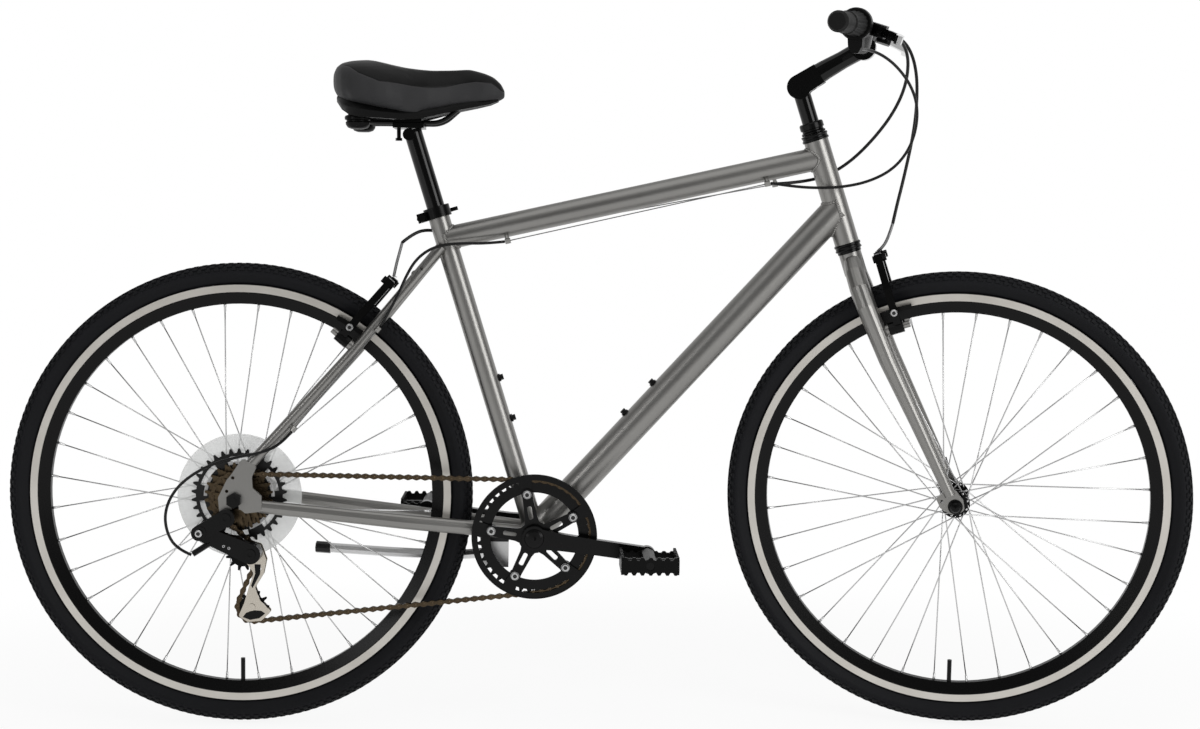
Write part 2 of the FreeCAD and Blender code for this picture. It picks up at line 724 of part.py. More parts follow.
knuckle_up = 668.5
knuckle_radius = 17.0
knuckle_half = 11.0
cheek_half = 19.5
stem_bolt_radius = 4.0
quill_low = 480.0
bar_up = 694.5
bar_ahead = 107.0
bar_bend_up = 719.0
bar_bend_ahead = 124.0
bar_bend_left = 100.0
bar_end_up = 726.0
bar_end_ahead = 93.0


# Section of the stem's arm: shares of its half width and half height
stem_quarter = [(1.0, 0.25), (0.94, 0.58), (0.75, 0.84), (0.45, 0.97)]
stem_half = stem_quarter + [(-x, y) for x, y in reversed(stem_quarter)]
stem_section = stem_half + [(-x, -y) for x, y in stem_half]


def make_stem():
    pivot = on_fork(knuckle_up, 0)
    post = rod(on_fork(quill_low, 0), on_fork(knuckle_up - 4, 0), quill_od / 2)
    for side in (1, -1):
        face = pivot + Y_AXIS * side * knuckle_half
        post = post.cut(rod(face, pivot + Y_AXIS * side * 40, knuckle_radius + 1.5))
    block = rod(pivot - Y_AXIS * knuckle_half, pivot + Y_AXIS * knuckle_half, knuckle_radius)
    bore = rod(pivot - Y_AXIS * 30, pivot + Y_AXIS * 30, stem_bolt_radius + running_gap)
    parts["stem_quill"] = steered(fused([post, block]).cut(bore))
    centre = on_fork(bar_up, bar_ahead)
    forward = unit(centre - pivot)
    upright = Y_AXIS.cross(forward) * -1
    reach = (centre - pivot).Length
    cheeks = []
    for side in (1, -1):
        inner = knuckle_half + 0.3
        cheek_start = pivot + Y_AXIS * side * inner
        cheeks.append(rod(cheek_start, pivot + Y_AXIS * side * cheek_half, knuckle_radius + 1))
        cheeks.append(plate([(0, -15), (0, 18), (36, 17), (36, -14)], pivot, forward, upright,
                            Y_AXIS * side, inner, cheek_half))
    arm_sections = []
    for at, tall, wide, shift in [(20, 33, 36, 1.5), (45, 30, 33, 2.0), (75, 27, 32, 1.0),
                                  (reach - 8, 28, 36, 0)]:
        corners = []
        for x, y in stem_section:
            corners.append(pivot + forward * at + Y_AXIS * (x * wide / 2) + upright * (y * tall / 2 + shift))
        arm_sections.append(Part.makePolygon(corners + [corners[0]]))
    arm = loft(arm_sections)
    clamp = rod(centre - Y_AXIS * 21, centre + Y_AXIS * 21, bar_clamp_od / 2 + 5.5)
    bolt = rod(pivot - Y_AXIS * (cheek_half + 2), pivot + Y_AXIS * (cheek_half + 2), stem_bolt_radius)
    whole = fused([arm, clamp] + cheeks)
    knuckle_room = rod(pivot - Y_AXIS * (knuckle_half + 0.3), pivot + Y_AXIS * (knuckle_half + 0.3),
                       knuckle_radius + 1.0)
    bar_bore = rod(centre - Y_AXIS * 40, centre + Y_AXIS * 40, bar_clamp_od / 2 + running_gap)
    whole = fused([whole.cut(knuckle_room).cut(bar_bore), bolt])
    parts["stem_extension"] = steered(whole)


def bar_bend(left):
    return on_fork(bar_bend_up, bar_bend_ahead, bar_bend_left * left)


def bar_tip(left):
    return on_fork(bar_end_up, bar_end_ahead, bar_half_width * left)


def make_handlebar():
    path = [bar_tip(-1), bar_bend(-1), on_fork(bar_up, bar_ahead, -36), on_fork(bar_up, bar_ahead, 36),
            bar_bend(1), bar_tip(1)]
    radii = [0, 60.0, 60.0, 60.0, 60.0, 0]
    bar = bent_rod(path, bar_od / 2, radii)
    middle = on_fork(bar_up, bar_ahead)
    bulge = rod(middle - Y_AXIS * 24, middle + Y_AXIS * 24, bar_clamp_od / 2)
    parts["handlebar"] = steered(fused([bar, bulge]))


class BarSide:
    """Directions and places on one straight end of the handlebar."""

    droop = radians(36.0)

    def __init__(self, left):
        self.left = left
        self.tip = bar_tip(left)
        self.inward = unit(bar_bend(left) - self.tip)
        ahead = head_fwd * cos(self.droop) - head_dir * sin(self.droop)
        self.ahead = unit(ahead - self.inward * ahead.dot(self.inward))
        self.across = self.inward.cross(self.ahead)

    def at(self, inward, ahead=0.0, across=0.0):
        return self.tip + self.inward * inward + self.ahead * ahead + self.across * across


bar_bore_radius = bar_od / 2 + running_gap
grip_radius = 14.6
grip_collar_radius = 16.2
end_cap = 2.5
right_grip_length = 62.0
left_grip_length = 132.0
twist_start = 62.6
twist_end = 118.0
twist_radius = 18.5
rib_depth = 1.2
housing_start = 118.6
housing_end = 140.0
housing_disc_radius = 22.7
spout_ahead = 10.0
spout_below = 32.0
right_clamp = 152.0
left_clamp = 148.0
clamp_half = 6.5
lever_reach = 30.0
lever_pin_radius = 3.0
lever_height = 12.0


def grip(side, length):
    return turned(side.tip, side.inward, [(length, bar_bore_radius), (length, grip_collar_radius),
                                          (length - 5, grip_collar_radius), (length - 8, grip_radius),
                                          (4, grip_radius), (-end_cap, grip_radius - 3), (-end_cap, 0),
                                          (-seat_gap, 0), (-seat_gap, bar_bore_radius)])


def lever_bracket(side, place):
    """Clamp band, arm and fork-shaped pivot seat of one brake lever."""
    band = prism(side.at(place - clamp_half), side.at(place + clamp_half), bar_od / 2 + 5, 12)
    outline = [(place - 7, 8), (place + 9, 8), (place + 26, 20), (place + 30, 30), (place + 26, 36),
               (place - 4, lever_reach + 8), (place - 8, lever_reach)]
    body = plate(outline, side.tip, side.inward, side.ahead, side.across, -9, 9)
    room_outline = [(place - 60, lever_reach - 11), (place + 12, lever_reach - 11),
                    (place + 12, lever_reach + 40), (place - 60, lever_reach + 40)]
    half_room = lever_height / 2 + 0.35
    room = plate(room_outline, side.tip, side.inward, side.ahead, side.across, -half_room, half_room)
    barrel = prism(side.at(place + 26, 29), side.at(place + 44, 30), 4.4)
    pin = rod(side.at(place, lever_reach, -9), side.at(place, lever_reach, 9), lever_pin_radius)
    bore = rod(side.at(place - 20), side.at(place + 20), bar_bore_radius)
    return fused([fused([band, body, barrel]).cut(room).cut(bore), pin])


def brake_lever(side, place):
    """Blade in front of the grip, turning on the bracket's pin."""
    outline = [(8, -8), (9, 7), (-8, 17), (-34, 36), (-62, 46), (-90, 49), (-104, 52), (-112, 53),
               (-115, 48), (-110, 43), (-90, 40), (-60, 36), (-36, 25), (-12, 4), (-7, -7)]
    outline = [(place + inward, lever_reach + ahead) for inward, ahead in outline]
    half = lever_height / 2
    blade = plate(outline, side.tip, side.inward, side.ahead, side.across, -half, half, 2.0)
    bore = rod(side.at(place, lever_reach, -20), side.at(place, lever_reach, 20),
               lever_pin_radius + running_gap)
    return blade.cut(bore)


def make_controls():
    right = BarSide(-1)
    left = BarSide(1)
    parts["grips"] = steered(group([grip(right, right_grip_length), grip(left, left_grip_length)]))
    bore = bar_od / 2 + running_gap
    ribs = 18
    rib_wires = []
    for place, radius in [(twist_start, grip_radius + 0.4), (twist_start + 22, grip_radius + 1.2),
                          (twist_end, twist_radius)]:
        corners = []
        for k in range(2 * ribs):
            angle = pi * k / ribs
            reach = radius - (0.0 if k % 2 else rib_depth)
            corners.append(right.at(place, reach * cos(angle), reach * sin(angle)))
        rib_wires.append(Part.makePolygon(corners + [corners[0]]))
    sleeve = loft(rib_wires).cut(rod(right.at(0), right.at(200), bore))
    parts["twist_shifter"] = steered(sleeve)
    disc = housing_disc_radius
    housing = turned(right.tip, right.inward, [(housing_start, bore), (housing_start, disc - 1.5),
                                               (housing_start + 2, disc), (housing_end - 8, disc),
                                               (housing_end - 2, disc - 3), (housing_end, 18.0),
                                               (housing_end, bore)])
    spout_outline = [(-9, 10), (14, 8), (spout_ahead + 9, spout_below - 6),
                     (spout_ahead + 7, spout_below + 5), (spout_ahead - 2, spout_below + 8),
                     (spout_ahead - 10, spout_below)]
    spout = plate(spout_outline, right.tip, right.ahead, right.across, right.inward,
                  housing_start + 2, housing_end - 3, 2.5)
    nozzle = rod(right.at(housing_end - 6, spout_ahead, spout_below),
                 right.at(housing_end + 5, spout_ahead, spout_below), 4.5)
    bar_room = rod(right.tip, right.at(300), bore)
    housing = fused([housing, spout.cut(bar_room), nozzle])
    brackets = [lever_bracket(right, right_clamp), lever_bracket(left, left_clamp), housing]
    parts["lever_brackets"] = steered(group(brackets))
    parts["right_brake_lever"] = steered(brake_lever(right, right_clamp))
    parts["left_brake_lever"] = steered(brake_lever(left, left_clamp))


# Rim brakes


def brake_arm(place, axle_out):
    """Left arm, pad and pad bolt; place maps (up, out, left), the axle lies at axle_out."""
    barrel = prism(place(brake_up, arm_start, brake_left), place(brake_up, arm_end, brake_left), 9.5, 10)
    up = place(1, 0) - place(0, 0)
    out = place(0, 1) - place(0, 0)
    outline = [(-8, -8), (-8, 7), (20, 9), (60, 6), (113, -4), (113, -15), (60, -8), (40, -9), (14, -9)]
    outline = [(brake_up + high, brake_left + left) for high, left in outline]
    body = plate(outline, place(0, 0), up, Y_AXIS, out, arm_end - 13, arm_end - 2)
    anchor = prism(place(brake_up + 106, arm_end - 16, brake_left - 9),
                 place(brake_up + 106, arm_end + 4, brake_left - 9), 5.5)
    bore = rod(place(brake_up, 0, brake_left), place(brake_up, 90, brake_left),
               boss_stud_radius + running_gap)
    arm = fused([fused([barrel, body]).cut(bore), anchor])
    rim_face = rim_width / 2
    pad_out = arm_end - 7.5
    pad_inner = rim_face + pad_gap
    pad_outer = pad_inner + 10.0
    radial = unit(up * pad_radius + out * (pad_out - axle_out))
    tangent = radial.cross(Y_AXIS)
    centre = place(0, axle_out) + radial * pad_radius
    pad_outline = []
    for reach, turns in [(pad_radius + pad_half_height, (-1, -0.5, 0, 0.5, 1)),
                         (pad_radius - pad_half_height, (1, 0, -1))]:
        for turn in turns:
            angle = radians(pad_half_turn * turn)
            pad_outline.append((reach * cos(angle) - pad_radius, reach * sin(angle)))
    pad = plate(pad_outline, centre, radial, tangent, Y_AXIS, pad_inner, pad_outer)
    post = prism(centre + Y_AXIS * pad_outer, centre + Y_AXIS * (brake_left + 14), 3.6)
    nut = prism(centre + Y_AXIS * (brake_left + 10), centre + Y_AXIS * (brake_left + 16), 6.5)
    return group([arm.cut(post).cut(nut), pad, fused([post, nut])])


def make_brakes():
    front = brake_arm(on_fork, fork_offset)
    rear = brake_arm(on_stay, 0.0)
    parts["front_left_brake_arm"] = steered(front)
    parts["front_right_brake_arm"] = steered(mirrored(front))
    parts["rear_left_brake_arm"] = rear
    parts["rear_right_brake_arm"] = mirrored(rear)


# Drive train


tooth_height = 2.6


def pitch_radius(teeth):
    return chain_pitch / (2 * sin(pi / teeth))


def toothed_outline(teeth, phase):
    """Outline of a chain wheel whose tooth gaps are centred on phase."""
    pitch_r = pitch_radius(teeth)
    root = pitch_r - roller_diameter / 2 - 0.35
    tip = pitch_r + tooth_height
    half_gap = asin(2.4 / root)
    half_tip = asin(1.3 / tip)
    points = []
    for k in range(teeth):
        gap = phase + 2 * pi * k / teeth
        tooth = gap + pi / teeth
        for angle, radius in [(gap - half_gap, root), (gap + half_gap, root),
                              (tooth - half_tip, tip), (tooth + half_tip, tip)]:
            points.append((radius * cos(angle), radius * sin(angle)))
    return points


def chain_wheel(centre, teeth, phase, plane, thickness, bore):
    blank = plate(toothed_outline(teeth, phase), centre, X_AXIS, Z_AXIS, Y_AXIS,
                  plane - thickness / 2, plane + thickness / 2)
    if bore:
        blank = blank.cut(rod(centre + Y_AXIS * (plane - 20), centre + Y_AXIS * (plane + 20), bore))
    return blank


guide_pulley_at = V(8, 0, 264.0)
cage_length = 80.0
cage_angle = -75.5


def tangent_run(c1, r1, s1, c2, r2, s2):
    """Points where a belt leaves wheel 1 and meets wheel 2; s is +1 for counter-clockwise."""
    dx, dz = c2.x - c1.x, c2.z - c1.z
    distance = hypot(dx, dz)
    base = atan2(dz, dx)
    lean = asin((s1 * r1 - s2 * r2) / distance)
    normal1 = base + lean - pi / 2
    leave = (c1.x + s1 * r1 * cos(normal1), c1.z + s1 * r1 * sin(normal1))
    meet = (c2.x + s2 * r2 * cos(normal1), c2.z + s2 * r2 * sin(normal1))
    return leave, meet


class ChainLoop:
    """Closed chain: chain ring, driven sprocket, guide pulley and tension pulley."""

    def __init__(self, tension_angle):
        tension = guide_pulley_at + V(cage_length * cos(tension_angle), 0, cage_length * sin(tension_angle))
        driven = driven_teeth
        self.wheels = [(bb, ring_teeth, 1), (rear_axle, driven, 1),
                       (guide_pulley_at, pulley_teeth, -1), (tension, pulley_teeth, 1)]
        self.tension = tension
        self.build()

    def build(self):
        count = len(self.wheels)
        runs = []
        for i in range(count):
            c1, t1, s1 = self.wheels[i]
            c2, t2, s2 = self.wheels[(i + 1) % count]
            runs.append(tangent_run(c1, pitch_radius(t1), s1, c2, pitch_radius(t2), s2))
        self.pieces = []
        for i in range(count):
            leave, meet = runs[i]
            length = hypot(meet[0] - leave[0], meet[1] - leave[1])
            self.pieces.append(("run", leave, meet, length))
            centre, teeth, sense = self.wheels[(i + 1) % count]
            start = atan2(meet[1] - centre.z, meet[0] - centre.x)
            out = runs[(i + 1) % count][0]
            end = atan2(out[1] - centre.z, out[0] - centre.x)
            swept = (sense * (end - start)) % (2 * pi)
            length = swept * teeth * chain_pitch / (2 * pi)
            self.pieces.append(("arc", (i + 1) % count, start, length))
        self.length = sum(piece[3] for piece in self.pieces)

    def pin(self, distance):
        """Place of a pin, as (x, z), at a distance along the chain."""
        for kind, first, second, length in self.pieces:
            if distance <= length:
                break
            distance -= length
        if kind == "run":
            share = distance / length
            return (first[0] + (second[0] - first[0]) * share, first[1] + (second[1] - first[1]) * share)
        centre, teeth, sense = self.wheels[first]
        angle = second + sense * distance * 2 * pi / (teeth * chain_pitch)
        radius = pitch_radius(teeth)
        return (centre.x + radius * cos(angle), centre.z + radius * sin(angle))

    def phase(self, wheel, pins):
        """Angle of a pin that sits on the wheel, to line its tooth gaps up with the chain."""
        centre, teeth, sense = self.wheels[wheel]
        radius = pitch_radius(teeth)
        best = min(pins, key=lambda p: abs(hypot(p[0] - centre.x, p[1] - centre.z) - radius)
                   + (0 if self.on_arc(wheel, p) else radius))
        return atan2(best[1] - centre.z, best[0] - centre.x)

    def on_arc(self, wheel, pin):
        centre, teeth, sense = self.wheels[wheel]
        for kind, first, start, length in self.pieces:
            if kind == "arc" and first == wheel:
                swept = length * 2 * pi / (teeth * chain_pitch)
                angle = atan2(pin[1] - centre.z, pin[0] - centre.x)
                return (sense * (angle - start)) % (2 * pi) <= swept
        return False


def closed_chain():
    """Swing the tension pulley until the loop holds a whole even number of links."""
    low, high = radians(cage_angle - 14), radians(cage_angle + 14)
    middle = ChainLoop(radians(cage_angle))
    links = 2 * round(middle.length / chain_pitch / 2)
    target = links * chain_pitch
    rising = ChainLoop(high).length > ChainLoop(low).length
    for _ in range(60):
        angle = (low + high) / 2
        if (ChainLoop(angle).length < target) == rising:
            low = angle
        else:
            high = angle
    loop = ChainLoop((low + high) / 2)
    pins = [loop.pin(k * chain_pitch % loop.length) for k in range(links)]
    return loop, pins


inner_plate_low = 1.3
plate_thickness = 1.0
outer_plate_low = 2.5


def link_plates(start, end, low):
    """The two side plates of one link."""
    along = unit(V(end[0] - start[0], 0, end[1] - start[1]))
    across = V(-along.z, 0, along.x)
    origin = V(start[0], chain_line, start[1])
    overhang, half = 4.0, 3.8
    outline = [(-overhang, 0), (-1.4, half), (chain_pitch + 1.4, half), (chain_pitch + overhang, 0),
               (chain_pitch + 1.4, -half), (-1.4, -half)]
    high = low + plate_thickness
    return [plate(outline, origin, along, across, Y_AXIS * side, low, high) for side in (1, -1)]


def roller(pin):
    middle = V(pin[0], chain_line, pin[1])
    half = Y_AXIS * (inner_plate_low - 0.05)
    return prism(middle - half, middle + half, roller_diameter / 2, 5)


def make_chain(loop, pins):
    solids = []
    for k, pin in enumerate(pins):
        after = pins[(k + 1) % len(pins)]
        low = inner_plate_low if k % 2 else outer_plate_low
        solids += link_plates(pin, after, low)
        solids.append(roller(pin))
    parts["chain"] = group(solids)
    print("chain links", len(pins), "loop length %.1f mm" % loop.length)


def make_sprockets(loop, pins):
    """Seven sprockets on the freewheel body; the largest has a ring of windows."""
    driven_phase = loop.phase(1, pins)
    first_plane = chain_line + sprocket_step * sprocket_teeth.index(driven_teeth)
    solids = []
    for k, teeth in enumerate(sprocket_teeth):
        plane = first_plane - sprocket_step * k
        phase = driven_phase if teeth == driven_teeth else 0.0
        wheel = chain_wheel(rear_axle, teeth, phase, plane, tooth_thickness, 0)
        wheel = wheel.cut(prism(rear_axle - Y_AXIS * 90, rear_axle, freewheel_body_radius + weld_gap, 9))
        if k == 0:
            wheel = wheel.cut(sprocket_windows(plane))
        solids.append(wheel)
    low = first_plane - sprocket_step * (len(sprocket_teeth) - 1) - 2.0
    high = first_plane + 2.4
    hub_bore = hub_body_radius + running_gap
    body = prism(rear_axle + Y_AXIS * low, rear_axle + Y_AXIS * high, freewheel_body_radius, 9)
    solids.append(body.cut(rod(rear_axle + Y_AXIS * low, rear_axle + Y_AXIS * high, hub_bore)))
    parts["sprockets"] = group(solids)


def sprocket_windows(plane):
    """Curved slots near the rim of the largest sprocket."""
    window = ring(rear_axle, Y_AXIS, plane - 4, plane + 4, 60.0, 52.0)
    wedges = []
    for k in range(6):
        a, b = radians(60 * k + 8), radians(60 * k + 44)
        corners = [(0, 0), (90 * cos(a), 90 * sin(a)), (90 * cos(b), 90 * sin(b))]
        wedges.append(plate(corners, rear_axle, X_AXIS, Z_AXIS, Y_AXIS, plane - 4, plane + 4))
    return window.common(group(wedges))


ring_bore = 66.0
ring_tab_radius = 9.0
guard_bore = 85.0
guard_lip = 0.9
ring_bolt_radius = 4.0
guard_low = -54.6
guard_high = -52.6
spider_low = -59.0
arm_inner = -58.0
arm_outer = -72.0
left_arm_inner = 56.0
left_arm_outer = 70.0
pedal_axle_radius = 6.0
pedal_width = 88.0
pedal_length = 84.0
pedal_height = 26.0


def crank_dir(turn=0.0):
    angle = radians(crank_angle + turn)
    return V(cos(angle), 0, sin(angle))


def bolt_places():
    for k in range(5):
        yield bb + crank_dir(36 + 72 * k) * bolt_circle


def make_crank(loop, pins):
    blank = chain_wheel(bb, ring_teeth, loop.phase(0, pins), chain_line, tooth_thickness, ring_bore)
    half = tooth_thickness / 2
    tabs = []
    legs = [ring(bb, Y_AXIS, guard_low, guard_high, guard_radius, guard_bore),
            ring(bb, Y_AXIS, guard_low - guard_lip, guard_low, guard_radius, guard_radius - 1.6)]
    holes = []
    bolts = []
    spider = [ring(bb, Y_AXIS, spider_low, guard_low - 0.1, 24.0, spindle_radius)]
    for k, place in enumerate(bolt_places()):
        outward = crank_dir(36 + 72 * k)
        sideways = outward.cross(Y_AXIS)
        ring_hole = prism(place + Y_AXIS * (chain_line - 30), place + Y_AXIS * (chain_line + 30),
                          ring_bolt_radius + 0.1, 8)
        holes.append(ring_hole)
        tabs.append(prism(place + Y_AXIS * (chain_line - half), place + Y_AXIS * (chain_line + half),
                          ring_tab_radius, 16))
        legs.append(prism(place + Y_AXIS * guard_low, place + Y_AXIS * (chain_line - half), 7.5, 14))
        legs.append(plate([(bolt_circle, -7), (bolt_circle, 7), (guard_bore + 3, 11), (guard_bore + 3, -11)],
                          bb, outward, sideways, Y_AXIS, guard_low, guard_high))
        tongue = plate([(12, -14), (12, 14), (28, 9.5), (bolt_circle, 7.5), (bolt_circle, -7.5), (28, -9.5)],
                       bb, outward, sideways, Y_AXIS, spider_low, guard_low - 0.1)
        tip = prism(place + Y_AXIS * spider_low, place + Y_AXIS * (guard_low - 0.1), 8.5, 16)
        window = plate([(27, -3.2), (27, 3.2), (47, 3.6), (47, -3.6)], bb, outward, sideways, Y_AXIS,
                       spider_low - 1, guard_low + 1, 2.6)
        spider.append(fused([tongue, tip]).cut(window).cut(ring_hole))
        head = prism(place + Y_AXIS * (spider_low - 2.2), place + Y_AXIS * (spider_low - 0.05), 6.5, 12)
        shank = prism(place + Y_AXIS * (spider_low - 0.05), place + Y_AXIS * (chain_line + 1.2),
                      ring_bolt_radius, 8)
        bolts.append(head.fuse(shank))
    all_holes = group(holes)
    parts["chainring"] = fused([blank] + tabs).cut(all_holes)
    parts["chain_guard"] = fused(legs).cut(all_holes)
    parts["chainring_bolts"] = group(bolts)
    arm = crank_arm(crank_dir(), arm_outer, arm_inner)
    right = fused(spider + [arm]).cut(rod(bb - Y_AXIS * 68, bb + Y_AXIS * 68, spindle_radius))
    left = crank_arm(crank_dir(180), left_arm_inner, left_arm_outer)
    left = left.cut(rod(bb - Y_AXIS * 68, bb + Y_AXIS * 68, spindle_radius))
    spindle = rod(bb - Y_AXIS * 67.8, bb + Y_AXIS * 67.8, spindle_radius - weld_gap)
    right_axle = pedal_axle(crank_dir(), arm_outer, -1)
    left_axle = pedal_axle(crank_dir(180), left_arm_outer, 1)
    parts["right_crank"] = group([right.cut(right_axle), right_axle, dust_cap(-arm_outer, -1)])
    parts["left_crank"] = group([left.cut(left_axle), left_axle, dust_cap(left_arm_outer, 1)])
    parts["crank_spindle"] = spindle


def dust_cap(face, side):
    """Domed cap that closes the spindle's end in a crank arm."""
    dome = [(face + weld_gap, 0), (face + weld_gap, 14.5), (face + 1.8, 13.6), (face + 3.2, 10.0),
            (face + 3.8, 0)]
    return turned(bb, Y_AXIS * side, dome)


def crank_arm(direction, low, high):
    """Tapered arm with round ends, one on the spindle and one on the pedal axle."""
    across = direction.cross(Y_AXIS)
    end = bb + direction * crank_length
    root = rod(bb + Y_AXIS * low, bb + Y_AXIS * high, 18.5)
    tip = rod(end + Y_AXIS * low, end + Y_AXIS * high, 12.8)
    web = plate([(0, -16), (0, 16), (40, 12.8), (90, 11.6), (crank_length, 11.4), (crank_length, -11.4),
                 (90, -11.6), (40, -12.8)], bb, direction, across, Y_AXIS, low, high)
    return fused([root, tip, web])


def pedal_axle(direction, face, side):
    """Axle screwed into the crank arm; the pedal turns on its outer part."""
    end = bb + direction * crank_length
    inside = end + Y_AXIS * (face - side * 12)
    collar = rod(end + Y_AXIS * face, end + Y_AXIS * (face + side * 5), 9.0)
    return fused([rod(inside, end + Y_AXIS * (face + side * (pedal_width + 4)), pedal_axle_radius), collar])


def toothed_edge(length, height):
    """Side plate outline with a saw-tooth on the upper and lower edge."""
    count = 7
    step = length / count
    upper = []
    for k in range(count):
        x = -length / 2 + k * step
        upper += [(x + 0.2 * step, height / 2 - 4), (x + 0.4 * step, height / 2),
                  (x + 0.7 * step, height / 2), (x + 0.9 * step, height / 2 - 4)]
    upper = [(-length / 2, height / 2 - 4)] + upper + [(length / 2, height / 2 - 4)]
    return upper + [(x, -z) for x, z in reversed(upper)]


def pedal(direction, face, side):
    """Toothed cage round a bored body."""
    end = bb + direction * crank_length
    start = face + side * 6.0
    middle = end + Y_AXIS * (start + side * pedal_width / 2)
    inner = pedal_width / 2
    barrel = prism(middle - Y_AXIS * inner, middle + Y_AXIS * inner, 12.0, 8)
    cage = []
    for ahead in (1, -1):
        edge = X_AXIS * (ahead * (pedal_length / 2 - 2))
        cage.append(plate(toothed_edge(pedal_width, pedal_height), middle + edge, Y_AXIS, Z_AXIS,
                          X_AXIS, -2, 2))
    for end_sign in (1, -1):
        wall = Y_AXIS * (end_sign * (inner - 2))
        outline = toothed_edge(pedal_length, pedal_height)
        if end_sign != side:
            outline = [(x, 0.6 * z) for x, z in outline]
        cage.append(plate(outline, middle + wall, X_AXIS, Z_AXIS, Y_AXIS, -2, 2))
    half = pedal_length / 2
    rib = plate([(-half, -4), (half, -4), (half, 4), (-half, 4)], middle, X_AXIS, Z_AXIS, Y_AXIS, -5, 5)
    bore = rod(middle - Y_AXIS * 80, middle + Y_AXIS * 80, pedal_axle_radius + running_gap)
    return fused([barrel, rib] + cage).cut(bore)


def make_pedals():
    parts["right_pedal"] = pedal(crank_dir(), arm_outer, -1)
    parts["left_pedal"] = pedal(crank_dir(180), left_arm_outer, 1)


# Derailleur

pulley_bolt_radius = 3.0
cage_inner_face = 5.5
cage_plate_thickness = 1.8
hanger_bolt = V(-11, -70.0, 323.0)
link_pivot = V(-50, -70.0, 301.0)
knuckle_at = V(24, -70.0, 269.0)


def pulley(centre, phase):
    bore = pulley_bolt_radius + running_gap
    return chain_wheel(centre, pulley_teeth, phase, chain_line, tooth_thickness, bore)


def cage_plate(loop, low, high):
    """Side plate from the swing knuckle to past the tension pulley."""
    tension = loop.tension
    down = unit(tension - guide_pulley_at)
    ahead = V(-down.z, 0, down.x)
    outline = [(-18, 14), (-10, 30), (14, 34), (34, 26), (52, 10), (72, 14), (92, 27), (103, 10),
               (101, -10), (90, -22), (72, -10), (48, 2), (30, 12), (16, 6), (0, -10), (-14, -6)]
    slot = [(21, 18.5), (24, 25), (34, 20.5), (45, 11), (42, 8.5), (31, 15)]
    lens = [(89, 9), (94, 15), (97, 8), (97, -6), (92, -13), (91, -2)]
    side = plate(outline, guide_pulley_at, down, ahead, Y_AXIS, low, high, 4.0)
    for window in (slot, lens):
        side = side.cut(plate(window, guide_pulley_at, down, ahead, Y_AXIS, low - 1, high + 1, 1.5))
    return side


def make_derailleur(loop, pins):
    outer_face = chain_line - cage_inner_face
    inner_face = chain_line + cage_inner_face
    parts["guide_pulley"] = pulley(guide_pulley_at, loop.phase(2, pins))
    parts["tension_pulley"] = pulley(loop.tension, loop.phase(3, pins))
    outer = cage_plate(loop, outer_face - cage_plate_thickness, outer_face)
    inner = cage_plate(loop, inner_face, inner_face + cage_plate_thickness)
    pins_between = []
    for centre in (guide_pulley_at, loop.tension):
        pin = rod(at_depth(centre, outer_face), at_depth(centre, inner_face), pulley_bolt_radius)
        pins_between.append(pin)
    top = outer_face - cage_plate_thickness - seat_gap
    pulley_head = prism(at_depth(loop.tension, outer_face - cage_plate_thickness - 1.8),
                        at_depth(loop.tension, outer_face), 5.5, 12)
    parts["derailleur_cage"] = fused([outer, inner, pulley_head] + pins_between)
    hanger_face = -dropout_spacing / 2 - dropout_plate - 0.1
    hanger = rod(at_depth(hanger_bolt, hanger_face), at_depth(hanger_bolt, -86), 13.5)
    upper_link = slab(hanger_bolt, link_pivot, 12.5, 11.5, -86, -75)
    pivot = rod(at_depth(link_pivot, -87), at_depth(link_pivot, -62), 11.0)
    lower_link = slab(link_pivot, knuckle_at, 11.5, 15.0, -79, -66)
    knuckle = rod(at_depth(knuckle_at, -79), at_depth(knuckle_at, top), 15.0)
    heads = [socket_head(at_depth(hanger_bolt, -86), 8.0), socket_head(at_depth(link_pivot, -87), 6.0),
             socket_head(at_depth(knuckle_at, -79), 8.0)]
    barrel = prism(derailleur_loop[-1] + V(2.0, 0.3, 1.2), V(-34, -75, 286), 4.5, 8)
    parts["derailleur_body"] = fused([hanger, upper_link, pivot, lower_link, knuckle, barrel] + heads)


def at_depth(point, y):
    """The same place on another plane across the bicycle."""
    return V(point.x, y, point.z)


def socket_head(face, radius):
    """Low bolt head with a six-sided socket, on a face that looks to the right."""
    head = prism(face + Y_AXIS * 0.5, face - Y_AXIS * 2.0, radius, 14)
    return head.cut(prism(face - Y_AXIS * 0.6, face - Y_AXIS * 3.0, 0.45 * radius))


def slab(start, end, start_radius, end_radius, low, high):
    """Link with round ends between two pivots."""
    a = V(start.x, 0, start.z)
    b = V(end.x, 0, end.z)
    along = unit(b - a)
    across = along.cross(Y_AXIS)
    length = (b - a).Length
    web = plate([(0, -start_radius), (0, start_radius), (length, end_radius), (length, -end_radius)],
                a, along, across, Y_AXIS, low, high)
    start_end = rod(at_depth(a, low), at_depth(a, high), start_radius)
    far_end = rod(at_depth(b, low), at_depth(b, high), end_radius)
    return fused([web, start_end, far_end])


# Seat post and saddle

collar_low = 497.0
collar_radius = 20.0
collar_bolt_back = 25.0
rail_radius = 3.5
rail_spread = 22.0
rail_above_post = 9.7
saddle_pan_gap = 0.3
saddle_at = on_seat(seatpost_head) + Z_AXIS * rail_above_post
rail_height = saddle_at.z


